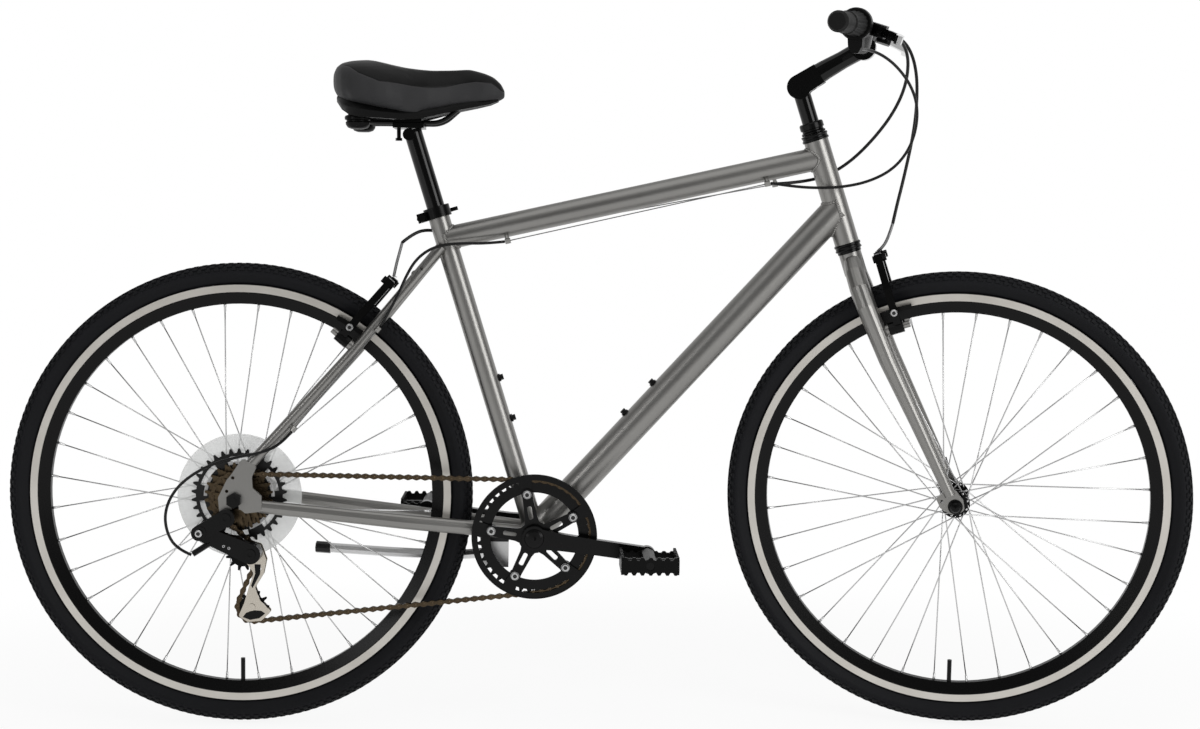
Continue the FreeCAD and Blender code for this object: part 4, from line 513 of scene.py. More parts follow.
def given(tree, label):
    """One of the group's own inputs."""
    return tree.node("NodeGroupInput", output=label)


def given_shape(tree):
    """The mesh of the object that is the group's input Shape."""
    return tree.node("GeometryNodeObjectInfo", {"Object": given(tree, "Shape")}, output="Geometry")


def close_group(tree, copies):
    """Real meshes with their material, sent to the group's output."""
    real = tree.node("GeometryNodeRealizeInstances", {"Geometry": copies})
    painted = tree.node("GeometryNodeSetMaterial", {"Geometry": real, "Material": given(tree, "Material")})
    tree.node("NodeGroupOutput", {"Geometry": painted})
    return tree.tree


def ring_group():
    """A shape repeated round a ring; its X points away from the axis, its Z along it."""
    tree = new_group("ring_of_shapes", {"Geometry": "Geometry", "Count": "Int", "Radius": "Float",
                                        "Shape": "Object", "Material": "Material"})
    circle = tree.node("GeometryNodeMeshCircle", {"Vertices": given(tree, "Count"), "Radius": given(tree, "Radius")})
    outward = tree.node("FunctionNodeAlignRotationToVector", {"Vector": tree.node("GeometryNodeInputPosition")},
                        {"axis": "X", "pivot_axis": "Z"})
    copies = tree.node("GeometryNodeInstanceOnPoints",
                       {"Points": circle, "Instance": given_shape(tree), "Rotation": outward})
    return close_group(tree, copies)


def row_group():
    """A shape on every point; the points carry the attributes turn and size."""
    tree = new_group("row_of_shapes", {"Geometry": "Geometry", "Shape": "Object", "Material": "Material"})
    turn, size = (tree.node("GeometryNodeInputNamedAttribute", {"Name": label}, {"data_type": "FLOAT_VECTOR"},
                            output="Attribute") for label in ("turn", "size"))
    copies = tree.node("GeometryNodeInstanceOnPoints",
                       {"Points": given(tree, "Geometry"), "Instance": given_shape(tree),
                        "Rotation": tree.node("FunctionNodeEulerToRotation", {0: turn}), "Scale": size})
    return close_group(tree, copies)


ring_of_shapes = ring_group()
row_of_shapes = row_group()
print("groups", [group.name for group in bpy.data.node_groups])

# %% [markdown]
# A group runs as a modifier on an empty carrier object, with its inputs set by their identifiers. The shape that it
# repeated is then thrown away.

# %% Running the groups
def grow(carrier, group, values):
    """Run a group on an object and keep what it makes; the shape it repeats is dropped."""
    modifier = carrier.modifiers.new("grow", "NODES")
    modifier.node_group = group
    for item in group.interface.items_tree:
        if item.in_out == "INPUT" and item.name in values:
            modifier[item.identifier] = values[item.name]
    keep_result(carrier)
    shape_mesh = values["Shape"].data
    bpy.data.objects.remove(values["Shape"])
    bpy.data.meshes.remove(shape_mesh)
    print(carrier.name, "faces", len(carrier.data.polygons))
    return carrier


def around(name, count, radius, shape, material, wheel):
    """Repeat a shape round a wheel and set it in the wheel's place."""
    carrier = mesh_object(name, [], [])
    grow(carrier, ring_of_shapes, {"Count": count, "Radius": radius, "Shape": shape, "Material": material})
    carrier.data.transform(wheel)
    return carrier


def along(name, places, shape, material):
    """Set a shape on each of (point, turn matrix, size)."""
    carrier = mesh_object(name, [place for place, _, _ in places], [])
    turns = carrier.data.attributes.new("turn", "FLOAT_VECTOR", "POINT")
    sizes = carrier.data.attributes.new("size", "FLOAT_VECTOR", "POINT")
    for i, (_, turned, size) in enumerate(places):
        turns.data[i].vector = turned.to_euler()
        sizes.data[i].vector = size
    return grow(carrier, row_of_shapes, {"Shape": shape, "Material": material})


# %% [markdown]
# ## Tyres
# A tyre is a rubber carcass with rows of small blocks. Bump could fake the blocks, but they show in the outline, so
# they are real. A wheel's own frame has Z along its axle. The carcass is turned from a section in millimetres, and one
# pitch of seven blocks, each square to that section, is repeated round it.

# %% Section of the tyre
tyre_side = [(8.6, 317.1), (14.7, 326.5), (17.5, 330.8), (18.5, 335.2), (17.5, 338.7), (15.1, 341.7), (11.5, 344.4),
             (6.4, 346.3), (0.0, 347.0)]
crown = tyre_side[-1][1] * MM


def wheel_frame(joint_name):
    """Place of a wheel and the turn that sends Z to its axle."""
    joint = joints[joint_name]
    spin = Vector(joint["axis"]).normalized().to_track_quat("Z", "Y").to_matrix().to_4x4()
    return Matrix.Translation(Vector(joint["pos_m"])) @ spin


def tyre_profile():
    """Closed section from bead to bead, rounded between the side's points: (radius, offset)."""
    corners = tyre_side + [(-offset, radius) for offset, radius in reversed(tyre_side[:-1])]
    section = []
    for i in range(len(corners) - 1):
        before, first = Vector(corners[max(i - 1, 0)]), Vector(corners[i])
        second, after = Vector(corners[i + 1]), Vector(corners[min(i + 2, len(corners) - 1)])
        slope = (second - before) * 0.5
        next_slope = (after - first) * 0.5
        for t in (0.0, 1 / 3, 2 / 3):
            point = (first * (2 * t**3 - 3 * t**2 + 1) + slope * (t**3 - 2 * t**2 + t)
                     + second * (3 * t**2 - 2 * t**3) + next_slope * (t**3 - t**2))
            section.append((point.y * MM, point.x * MM))
    section.append((corners[-1][1] * MM, corners[-1][0] * MM))
    return section


def on_section(section, distance):
    """Point and outward direction at a distance along the section from the crown: (radius, offset)."""
    step = -1 if distance > 0 else 1
    left = abs(distance)
    i = len(section) // 2
    while True:
        here, there = Vector(section[i]), Vector(section[i + step])
        if (there - here).length >= left:
            break
        left -= (there - here).length
        i += step
    heading = (there - here).normalized()
    out = Vector((heading.y, -heading.x)) * step
    return here + heading * left, out if out.x > 0 else -out


section = tyre_profile()
print("points in the tyre's section", len(section))

# %% [markdown]
# Each row of the tread is a distance from the crown, the width of its blocks and a shift in pitches. Neighbouring rows
# are half a pitch apart, as on the real tyre.

# %% Carcass and tread
tread_rows = ((0.0, 5.0, 0.0), (7.2, 5.0, 0.5), (-7.2, 5.0, 0.5), (13.8, 4.6, 0.0), (-13.8, 4.6, 0.0),
              (19.6, 4.2, 0.5), (-19.6, 4.2, 0.5))
tread_pitches = 168
tread_pitch = FULL_TURN * crown / tread_pitches
tread_height = 2.0 * MM
block_length = 0.58 * tread_pitch
block_root, block_inset, block_wall = 0.8 * MM, 0.45 * MM, 0.6
first_shift = -0.25
carcass_steps = 144


def tread_block(distance, width, shift):
    """One block with drawn-in top, square to the section at a distance from its crown."""
    place, out = on_section(section, distance)
    middle = Vector((place.x - crown, 0, place.y))
    out = Vector((out.x, 0, out.y))
    across = Vector((-out.z, 0, out.x))
    forward = Vector((0, 1, 0))
    layers = ((-block_root, 0.0), (block_wall * tread_height, 0.0), (tread_height, block_inset))
    points = []
    for height, inset in layers:
        for a, b in ((-1, -1), (1, -1), (1, 1), (-1, 1)):
            points.append(middle + out * height + across * a * (width / 2 - inset)
                          + forward * (shift + b * (block_length / 2 - inset)))
    return points, tube_faces(len(layers), 4)


def make_tyre(name, joint_name, body):
    wheel = wheel_frame(joint_name)
    points = [(radius * c, radius * s, offset) for c, s in directions(carcass_steps) for radius, offset in section]
    faces = grid_faces(carcass_steps, len(section), closed=True)
    carcass = mesh_object(name + "_carcass", points, faces, looks["tyre_rubber"])
    carcass.data.transform(wheel)
    blocks = [tread_block(distance * MM, width * MM, (shift + first_shift) * tread_pitch)
              for distance, width, shift in tread_rows]
    shape = mesh_object(name + "_pitch", *join_lists(blocks), smooth=False)
    tread = around(name + "_tread", tread_pitches, crown, shape, looks["tyre_rubber"], wheel)
    for piece in (carcass, tread):
        settle(piece, body, name)


make_tyre("rear_tyre", "rear_wheel_spin", "rear_wheel")
make_tyre("front_tyre", "front_wheel_spin", "front_wheel")

# %% [markdown]
# ## Spokes
# Thirty-six thin wires are laced three-cross: each leaves its flange at a slant and crosses three others. The CAD
# spokes are plain, so these add the bend at the flange, the head and the nipple. Four neighbours make one pattern:
# right and left flange, leading and trailing. Nine patterns fill a wheel.

# %% Spokes and nipples
spoke_count, pattern_size = 36, 4
spoke_ring = 287.0 * MM
spoke_radius = 1.0 * MM
cross_angle = math.pi / 3
hole_inset = 3.2 * MM
elbow_out, head_in, rim_out = 3.0 * MM, 1.7 * MM, 2.0 * MM
elbow_start, elbow_reach = 0.25, 1.6
wire_sides, cap_sides = 7, 8
head_profile = ((0.0, 2.0), (0.5, 2.0), (1.3, 1.2))
nipple_profile = ((-3.0, 2.1), (4.0, 2.1), (4.4, 1.75), (9.6, 1.75), (10.4, 1.1))


def spoke_pattern(flange_radius, flanges):
    """Four spokes about the ring's place on X; flanges are the offsets of the right and the left flange."""
    origin = Vector((spoke_ring, 0, 0))
    hole = flange_radius - hole_inset
    pieces = []

    def add(path, radii, sides):
        pieces.append(tube([point - origin for point in path], radii, sides))

    for i in range(pattern_size):
        rim_angle = FULL_TURN * (i + 0.5) / spoke_count
        flange = flanges[i % 2]
        outside = 1 if flange > 0 else -1
        lead = 1 if i < 2 else -1
        hub_angle = rim_angle - lead * cross_angle
        hole_x, hole_y = hole * math.cos(hub_angle), hole * math.sin(hub_angle)
        foot = Vector((hole_x, hole_y, flange + outside * lead * elbow_out))
        head = Vector((hole_x, hole_y, flange - outside * lead * head_in))
        tip = Vector((spoke_ring * math.cos(rim_angle), spoke_ring * math.sin(rim_angle), outside * rim_out))
        heading = (tip - foot).normalized()
        outward = (foot - head).normalized()
        wire = [head, foot - (foot - head) * elbow_start, foot + heading * elbow_reach * MM,
                foot + (tip - foot) * 0.5, tip]
        add(wire, spoke_radius, wire_sides)
        for start, inward, profile in ((head, outward, head_profile), (tip, heading, nipple_profile)):
            add([start - inward * depth * MM for depth, _ in profile], [width * MM for _, width in profile], cap_sides)
    return join_lists(pieces)


def make_spokes(name, joint_name, body, flange_radius, flanges):
    pattern = spoke_pattern(flange_radius * MM, [offset * MM for offset in flanges])
    shape = mesh_object(name + "_pattern", *pattern)
    spokes = around(name + "_laced", spoke_count // pattern_size, spoke_ring, shape, looks["spoke_steel"],
                    wheel_frame(joint_name))
    settle(spokes, body, name)


make_spokes("rear_spokes", "rear_wheel_spin", "rear_wheel", 26.0, (-17.0, 33.0))
make_spokes("front_spokes", "front_wheel_spin", "front_wheel", 22.0, (-31.0, 31.0))

# %% [markdown]
# ## Chain
# A chain alternates wide links with outer plates and narrow links with inner plates. An array along a curve would drift
# off the teeth. The CAD chain's rollers already lie in the tooth gaps, so their centres give the pins: the loose
# pieces of that mesh are sorted, and those that lie wholly between the plates are rollers.

# %% Pins of the chain
chain_plane = -48.5 * MM
roller_reach = 1.4 * MM


def roller_centres():
    """Centres of the pieces of the CAD chain that lie wholly between the plates."""
    mesh = nodes["chain"].data
    places = np.array([vertex.co for vertex in mesh.vertices])
    keys = {}
    merged = [keys.setdefault(tuple(np.round(place, 6)), len(keys)) for place in places]
    parent = list(range(len(keys)))

    def top(i):
        while parent[i] != i:
            parent[i] = parent[parent[i]]
            i = parent[i]
        return i

    for polygon in mesh.polygons:
        first = top(merged[polygon.vertices[0]])
        for index in polygon.vertices[1:]:
            parent[top(merged[index])] = first
    pieces = {}
    for index, place in enumerate(places):
        pieces.setdefault(top(merged[index]), []).append(place)
    centres = []
    for piece in pieces.values():
        piece = np.array(piece)
        if np.abs(piece[:, 1] - chain_plane).max() < roller_reach:
            centres.append((piece.min(0) + piece.max(0)) / 2)
    return centres


def pin_loop():
    """The pins in order round the loop."""
    left = [Vector(centre) for centre in roller_centres()]
    loop = [left.pop(0)]
    while left:
        nearest = min(range(len(left)), key=lambda i: (left[i] - loop[-1]).length)
        loop.append(left.pop(nearest))
    return loop


pins = pin_loop()
print("pins", len(pins))

# %% [markdown]
# One wide and one narrow link are shaped between two pins, with the waisted plates of real ones. A narrow link carries
# the rollers, a wide one the rivets. Each is then set on every second gap between the pins.

# %% Links of the chain
half_pitch = 6.35 * MM
plate_end, plate_waist, plate_bevel = 4.2 * MM, 2.2 * MM, 0.25 * MM
end_points, end_sweep = 9, 230
roller_profile = ((-1.25, 3.4), (-0.95, 3.75), (0.95, 3.75), (1.25, 3.4))
rivet_proud, rivet_bevel = 0.55 * MM, 0.4 * MM
rivet_radii = [1.0 * MM, 1.75 * MM, 1.75 * MM, 1.0 * MM]
roller_sides, rivet_sides = 14, 10


def link_outline():
    """Figure-of-eight outline between two pins a pitch apart."""
    outline = []
    for end in (1, -1):
        for k in range(end_points):
            angle = math.radians(end_sweep * (k / (end_points - 1) - 0.5))
            outline.append((end * (half_pitch + plate_end * math.cos(angle)), end * plate_end * math.sin(angle)))
        outline.append((0.0, end * plate_waist))
    return outline


def link_shape(name, plate_low, plate_high, with_roller):
    """Both plates of one link, with a roller or a rivet at each end."""
    outline = link_outline()
    layers = ((plate_low, 1.0, 1.0), (plate_high - plate_bevel, 1.0, 1.0), (plate_high, 0.975, 0.92))
    pieces = []
    for side in (1, -1):
        points = [Vector((x * long, side * depth, z * wide)) for depth, long, wide in layers for x, z in outline]
        pieces.append((points, tube_faces(len(layers), len(outline))))
    reach = plate_high + rivet_proud
    rivet = (-reach, -reach + rivet_bevel, reach - rivet_bevel, reach)
    for end in (1, -1):
        middle = Vector((end * half_pitch, 0, 0))
        if with_roller:
            path = [middle + Vector((0, y * MM, 0)) for y, _ in roller_profile]
            pieces.append(tube(path, [width * MM for _, width in roller_profile], roller_sides))
        else:
            pieces.append(tube([middle + Vector((0, y, 0)) for y in rivet], rivet_radii, rivet_sides))
    return mesh_object(name, *join_lists(pieces), smooth=False)


across = Vector((0, 1, 0))
inner_places, outer_places = [], []
for index, pin in enumerate(pins):
    following = pins[(index + 1) % len(pins)]
    step = following - pin
    facing = Matrix([axis.normalized() for axis in (step, across, step.cross(across))]).transposed()
    (inner_places if index % 2 else outer_places).append(((pin + following) / 2, facing, (1, 1, 1)))
for name, places, shape in (
        ("chain_inner_links", inner_places, link_shape("inner_link", 1.35 * MM, 2.25 * MM, True)),
        ("chain_outer_links", outer_places, link_shape("outer_link", 2.32 * MM, 3.2 * MM, False))):
    settle(along(name, places, shape, looks["chain_steel"]), "frame", "chain")

# %% [markdown]
# ## Cables
# Black housings hang from the bars in loose curves, with bare wires along the tubes and steel noodles at the brakes.
# Straight runs with rounded corners look like bent wire. Each route therefore repeats the points of its CAD tube, in
# millimetres, as control points of a NURBS spline, and the housing follows that smooth line.

# %% Routes of the cables
routes = {
    "shift_front": [(893.7, -179, 1011.3), (905, -150, 1014), (921, -126, 1014.5), (942, -109, 1009),
                    (964, -98, 995), (986, -88, 971), (1000, -77, 941), (1001, -67, 906), (991, -58, 873),
                    (969, -50, 846), (936, -43, 829), (900, -35, 821), (861, -28, 819), (823, -21.5, 821.5),
                    (793, -17, 826)],
    "rear_brake_front": [(938.6, -143.6, 1038.9), (948, -119, 1041.5), (961, -95, 1040), (979, -72, 1029),
                         (991, -49, 1008), (992, -24, 972), (979, 0, 934), (954, 17, 897), (922, 25, 863),
                         (887, 27, 840), (846, 22, 829), (808, 15, 826)],
    "front_brake_front": [(986.1, 84, 1054.4), (991, 62, 1053), (1002, 46, 1046), (1013, 36, 1024), (1018, 26, 994),
                          (1017, 14, 960), (1013, 2, 927), (1006, -11, 893), (997, -24, 859), (988, -35, 826),
                          (979, -43, 794), (973, -47, 768)],
    "front_noodle": [(973, -47, 768), (967, -49, 748), (959, -47, 732), (953.5, -36, 726)],
    "front_link_wire": [(953.5, -36, 726), (965, 21, 729)],
    "shift_rear": [(395, -17, 734), (367, -23, 731), (336, -27, 731), (306, -29, 729), (282, -33, 721),
                   (263, -38, 705), (250, -43, 682), (239, -48, 655), (225, -50, 628), (212, -48, 605.5)],
    "derailleur_loop": [(84, -67, 451), (70, -71, 434), (45, -75, 421), (12, -78, 415), (-24, -80, 406),
                        (-59, -81, 389), (-87, -81, 364), (-101, -81, 332), (-98, -81, 301), (-83, -81, 277),
                        (-62, -80, 268)],
    "rear_brake_rear": [(330, 21, 734), (305, 21, 745), (280, 15, 751), (258, 6, 746), (241, -6, 731)],
    "rear_noodle": [(241, -6, 731), (237, -13, 714), (233, -21, 697), (230.5, -29, 681)],
    "rear_link_wire": [(230.5, -29, 681), (229.6, 31, 678)],
    "shift_wire": [(793, -17, 826), (395, -17, 734)],
    "stay_wire": [(212, -48, 605.5), (84, -67, 451)],
    "brake_wire": [(808, 15, 826), (330, 21, 734)],
}


def smooth_line(name):
    """Points along the route's spline, from the curve itself."""
    points = [Vector(point) * MM for point in routes[name]]
    curve = bpy.data.curves.new(name + "_line", "CURVE")
    curve.dimensions = "3D"
    curve.resolution_u = 8
    spline = curve.splines.new("NURBS")
    spline.points.add(len(points) - 1)
    for control, point in zip(spline.points, points):
        control.co = (*point, 1.0)
    spline.order_u = min(3, len(points))
    spline.use_endpoint_u = True
    holder = bpy.data.objects.new(name + "_line", curve)
    scene.collection.objects.link(holder)
    mesh = evaluated_mesh(holder)
    line = [vertex.co.copy() for vertex in mesh.vertices]
    bpy.data.objects.remove(holder)
    bpy.data.curves.remove(curve)
    bpy.data.meshes.remove(mesh)
    return line


print("routes", len(routes))

# %% [markdown]
# The bars turn and the frame does not, so a housing between them has to give. Those from the bars to the frame are cut
# in two, a near part and a far part, and both stay where they lie, on no body. What stays on one body rides there
# whole.

# %% Housings and wires
shift_housing, brake_housing = (2.2 * MM, "cable_black"), (2.5 * MM, "cable_black")
noodle, bare_wire = (2.3 * MM, "wire_steel"), (0.8 * MM, "wire_steel")
hose_sides = 14
cut_percent = 55


def hose(name, line, kind):
    radius, look = kind
    return mesh_object(name, *tube(line, radius, hose_sides), looks[look])


def giving_hose(name, line, kind):
    """A housing kept where it lies, on no body; it stands for the CAD cables."""
    piece = hose(name, line, kind)
    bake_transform(piece)
    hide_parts("control_cables")


for name, kind in (("shift_front", shift_housing), ("rear_brake_front", brake_housing)):
    line = smooth_line(name)
    cut = len(line) * cut_percent // 100
    giving_hose(name + "_near", line[:cut + 1], kind)
    giving_hose(name + "_far", line[cut:], kind)
giving_hose("front_brake_housing", smooth_line("front_brake_front"), brake_housing)
for name, kind in (("front_noodle", noodle), ("front_link_wire", bare_wire)):
    settle(hose(name, smooth_line(name), kind), "steering", "control_cables")
for name, kind in (("shift_rear", shift_housing), ("derailleur_loop", shift_housing),
                   ("rear_brake_rear", brake_housing), ("rear_noodle", noodle), ("rear_link_wire", bare_wire),
                   ("shift_wire", bare_wire), ("stay_wire", bare_wire), ("brake_wire", bare_wire)):
    settle(hose(name, smooth_line(name), kind), "frame", "frame_cables")

# %% [markdown]
# ## Saddle
# The saddle is a stuffed vinyl cover, wide at the rear and drawn in to a nose. It could be sculpted, but a lofted shell
# through stations is exact in the side view. The shell starts slightly small. Each station is its place along X, half
# its width, and the heights of its top and its lower edge, in millimetres.

# %% Shell of the cushion
stations = [(140, 36, 987, 948), (146, 58, 995.5, 941), (155, 75, 999.5, 936.5), (169, 89, 1000.5, 931.5),
            (185, 97, 999, 927.5), (205, 101, 995.5, 923.5), (225, 97, 991, 920.5), (245, 85, 987, 918.5),
            (265, 67, 985, 919.5), (285, 50, 984, 924), (318, 37, 985, 931), (345, 32, 987, 936),
            (366, 28, 986, 940), (380, 23, 981.5, 943), (390, 17, 973, 946), (396, 9, 963, 949)]
shell_inset, least_half = 2.5, 4
shell_columns = 32
middle_share, low_lift = 0.40, 1.0
side_power, top_power, low_power = 0.72, 0.8, 0.42


def saddle_shell():
    """Closed grid of points through the stations, drawn in so that the cover can swell."""
    points = []
    for x, half, top, low in stations:
        half = max(half - shell_inset, least_half)
        middle = low + middle_share * (top - low)
        for c, s in directions(shell_columns):
            y = half * math.copysign(abs(c) ** side_power, c)
            if s >= 0:
                z = middle + (top - shell_inset - middle) * s ** top_power
            else:
                z = middle - (middle - low - low_lift) * abs(s) ** low_power
            points.append(Vector((x, y, z)) * MM)
    return points, tube_faces(len(stations), shell_columns)


print("stations of the cushion", len(stations))

# %% [markdown]
# The cover is a smooth black top over charcoal sides. The seam between them runs low along the waist and high at both
# ends. An attribute on the points tells top from side, so the material needs no map, and it sinks the seam as well.

# %% Vinyl of the cover
def leather():
    """Vinyl cover with a fine pebbled grain, black or charcoal by the attribute panel."""
    paint = Paint("saddle_cover")
    place = paint.place()
    pebbles = paint.cells(place, scale=900.0)
    drift = paint.noise(place, scale=30.0, detail=3.0)
    panel = paint.attribute("panel")
    seam = (1.0 - (panel - 0.5).size() * 2.0).ramp(0.55, 1.0)
    top = paint.mix(drift, shade(0.0012), shade(0.0028))
    side = paint.mix(drift, shade((0.0270, 0.0270, 0.0280)), shade((0.0360, 0.0360, 0.0375)))
    paint.coat(Base_Color=paint.mix(panel.ramp(0.48, 0.52), top, side),
               Roughness=0.42 + panel * 0.10 + drift * 0.06, Specular_IOR_Level=0.16,
               Normal=paint.bump(pebbles * 0.08 - seam * 0.75, distance=0.0009, strength=0.5))
    return paint.material


cushion = mesh_object("saddle_cover", *saddle_shell(), leather())
print("cushion starts with faces", len(cushion.data.polygons))

# %% [markdown]
# Blender's cloth, under pressure and without gravity, blows the shell up like a stuffed cover. It needs an even mesh,
# so the shell is remeshed first. No point may move further than a limit. One subdivision and a few rounds of smoothing
# then take away the steps of the remesh.

# %% Stuffing the cushion
voxel_size, swell_limit = 5.0 * MM, 6.0 * MM
cloth_pressure, cloth_steps = 4.0, 20
smooth_rounds = 4
seam_line = [(140, 991), (160, 989), (169, 986), (184, 976), (214, 964), (237, 962.5), (260, 960), (283, 959),
             (306, 961), (329, 967), (351, 970.5), (374, 968.5), (390, 957)]
seam_width = 8.0


def even_out(piece):
    modifier = piece.modifiers.new("even", "REMESH")
    modifier.mode = "VOXEL"
    modifier.voxel_size = voxel_size
    keep_result(piece)


def blow_up(piece):
    """Cloth under pressure, with no gravity; no point moves further than the limit."""
    start = np.array([vertex.co for vertex in piece.data.vertices])
    cloth = piece.modifiers.new("stuffed", "CLOTH")
    cloth.settings.use_pressure = True
    cloth.settings.uniform_pressure_force = cloth_pressure
    cloth.settings.effector_weights.gravity = 0.0
    for step in range(1, cloth_steps + 1):
        scene.frame_set(step)
    moved = evaluated_mesh(piece)
    end = np.array([vertex.co for vertex in moved.vertices])
    bpy.data.meshes.remove(moved)
    piece.modifiers.clear()
    scene.frame_set(1)
    shift = end - start
    length = np.maximum(np.linalg.norm(shift, axis=1), 1e-9)
    shift *= np.minimum(1.0, swell_limit / length)[:, None]
    for vertex, place in zip(piece.data.vertices, start + shift):
        vertex.co = place
    print("cushion moved at most", round(float(length.max()) / MM, 1), "mm before the limit")


def round_off(piece):
    """One subdivision, then smoothing."""
    smoother = piece.modifiers.new("round", "SUBSURF")
    smoother.levels = smoother.render_levels = 1
    keep_result(piece)
    work = bmesh.new()
    work.from_mesh(piece.data)
    for _ in range(smooth_rounds):
        bmesh.ops.smooth_vert(work, verts=work.verts, factor=0.5, use_axis_x=True, use_axis_y=True, use_axis_z=True)
    work.to_mesh(piece.data)
    work.free()
    for polygon in piece.data.polygons:
        polygon.use_smooth = True


def mark_panels(piece):
    """The attribute panel: 0 on the top, 1 on the sides, one half along the seam."""
    panel = piece.data.attributes.new("panel", "FLOAT", "POINT")
    seam_x, seam_z = zip(*seam_line)
    for i, vertex in enumerate(piece.data.vertices):
        height = np.interp(vertex.co.x / MM, seam_x, seam_z)
        panel.data[i].value = float(np.clip(0.5 + (height - vertex.co.z / MM) / seam_width, 0, 1))


even_out(cushion)
blow_up(cushion)
round_off(cushion)
mark_panels(cushion)
settle(cushion, "seat", "saddle_cushion")
print("cushion faces", len(cushion.data.polygons))

# %% [markdown]
# Under the cushion lies a moulded pan. Its skirt shows as a dark wedge at the rear, and two layered rubber bumpers
# stand between the pan and the rails. The skirt is lofted through stations as the cushion was, and the bumpers are
# turned from (radius, height) points. Sharp edges are kept by marking them, so that the rest can be shaded smooth.

# %% Saddle pan and bumpers
pan_stations = [(147, 42, 947, 937), (156, 60, 943, 925), (167, 73, 940, 917.5), (183, 83, 936, 914),
                (203, 87, 932, 912.5), (225, 83, 929, 911.5), (245, 70, 927, 911.5), (265, 53, 927, 913),
                (290, 39, 931, 919), (320, 29, 938, 927), (350, 24, 943, 933), (372, 18, 946, 938),
                (384, 11, 950, 943)]
pan_wall, pan_skin, pan_drop = 10, 5, 2
pan_flat, pan_shoulder, pan_foot = 0.6, 0.92, 0.93
bumper_x, bumper_y = 178, 42
bumper_profile = [(9.0, 897.5), (14.5, 899.5), (17.5, 903.5), (18.0, 907.0), (16.5, 908.5), (16.5, 910.0),
                  (19.0, 911.0), (19.5, 914.0), (18.5, 916.5), (14.5, 918.0), (13.5, 922.0), (13.5, 928.0)]
bumper_sides = 28
sharp_angle = math.radians(40.0)


def pan_skirt():
    """Shell with an open underside, so that the rails and the clamp have room."""
    points = []
    for x, half, top, low in pan_stations:
        inner = max(pan_foot * half - pan_wall, 0.4 * half)
        side = [(0.0, top), (pan_flat * half, top), (pan_shoulder * half, top - pan_drop), (half, 0.5 * (top + low)),
                (pan_foot * half, low), (inner, low), (0.9 * inner, top - pan_skin)]
        ring = side + [(0.0, top - pan_skin)] + [(-y, z) for y, z in reversed(side[1:])]
        points += [Vector((x, y, z)) * MM for y, z in ring]
    return points, tube_faces(len(pan_stations), len(ring))


def bumper(side):
    """Layered bumper; side is 1 on the left and -1 on the right."""
    points = [Vector((bumper_x, side * bumper_y, z)) * MM + Vector((c, s, 0)) * (radius * MM)
              for radius, z in bumper_profile for c, s in directions(bumper_sides)]
    return points, tube_faces(len(bumper_profile), bumper_sides)


def crease(piece):
    """Smooth shading that keeps the sharp edges."""
    work = bmesh.new()
    work.from_mesh(piece.data)
    for edge in work.edges:
        edge.smooth = len(edge.link_faces) == 2 and edge.calc_face_angle(0.0) < sharp_angle
    work.to_mesh(piece.data)
    work.free()


pan = mesh_object("saddle_pan", *join_lists([pan_skirt(), bumper(1), bumper(-1)]), looks["black_plastic"])
crease(pan)
settle(pan, "seat", "saddle_base")
print("pan faces", len(pan.data.polygons))

# %% [markdown]
# ## Welds
# A welded frame shows a row of small overlapping beads round each joint. A plain ring of paint would look glued. Where
# one tube meets another, the joint is the line on the first tube's surface that lies one radius from the second tube's
# axis. It is worked out angle by angle, and a low blob is set on each step of it.

# %% Weld beads
bottom_bracket = Vector((443.5, 0, 294.0))
head_line = (Vector((1043.2, 0, 335.09)), Vector((-0.309017, 0, 0.951057)), 18.5)
seat_line = (bottom_bracket, Vector((-0.297375, 0, 0.954761)), 15.9)
shell_line = (bottom_bracket, across, 20.0)
top_rear, top_front, top_radius = Vector((305.4, 0, 737.39)), Vector((870.93, 0, 865.31)), 17.45
down_top, down_radius = Vector((896.02, 0, 788.08)), 22.2
seat_high = bottom_bracket + seat_line[1] * 400
weld_joints = [(top_front, top_rear, top_radius, head_line), (top_rear, top_front, top_radius, seat_line),
               (down_top, bottom_bracket, down_radius, head_line), (bottom_bracket, down_top, down_radius, shell_line),
               (bottom_bracket, seat_high, seat_line[2], shell_line)]
bead_step, slant_allowance = 2.6, 1.12
bead_size = (2.0 * MM, 2.7 * MM, 2.2 * MM)
bead_rings = ((0.8, -0.45), (1.0, 0.0), (0.75, 0.55))
bead_foot, bead_top = -0.7, 0.8
bead_sides = 8


def joint_line(start, far, radius, other):
    """Points of the joint, and the outward direction at each, at even steps of about one bead."""
    heading = (far - start).normalized()
    upward = heading.cross(across)
    base, axis, reach = other
    lean = heading - axis * heading.dot(axis)
    line = []
    for c, s in directions(round(FULL_TURN * radius * slant_allowance / bead_step)):
        out = across * c + upward * s
        place = start + out * radius - base
        flat = place - axis * place.dot(axis)
        a, b, rest = lean.dot(lean), flat.dot(lean), flat.dot(flat) - reach * reach
        travel = (-b + math.sqrt(max(b * b - a * rest, 0.0))) / a
        line.append((base + place + heading * travel, out))
    return line


def bead_shape():
    """A low oval blob: rings of points, closed by a point below and one above."""
    points = [(reach * c, reach * s, height) for reach, height in bead_rings for c, s in directions(bead_sides)]
    foot, last = len(points), len(points) - bead_sides
    points += [(0, 0, bead_foot), (0, 0, bead_top)]
    faces = grid_faces(len(bead_rings), bead_sides)
    faces += [(foot, (k + 1) % bead_sides, k) for k in range(bead_sides)]
    faces += [(foot + 1, last + k, last + (k + 1) % bead_sides) for k in range(bead_sides)]
    return mesh_object("bead", points, faces)


def basis(x_axis, z_axis):
    """Turn that sends X to x_axis and Z near z_axis."""
    x_axis = x_axis.normalized()
    z_axis = (z_axis - x_axis * z_axis.dot(x_axis)).normalized()
    return Matrix((x_axis, z_axis.cross(x_axis), z_axis)).transposed()


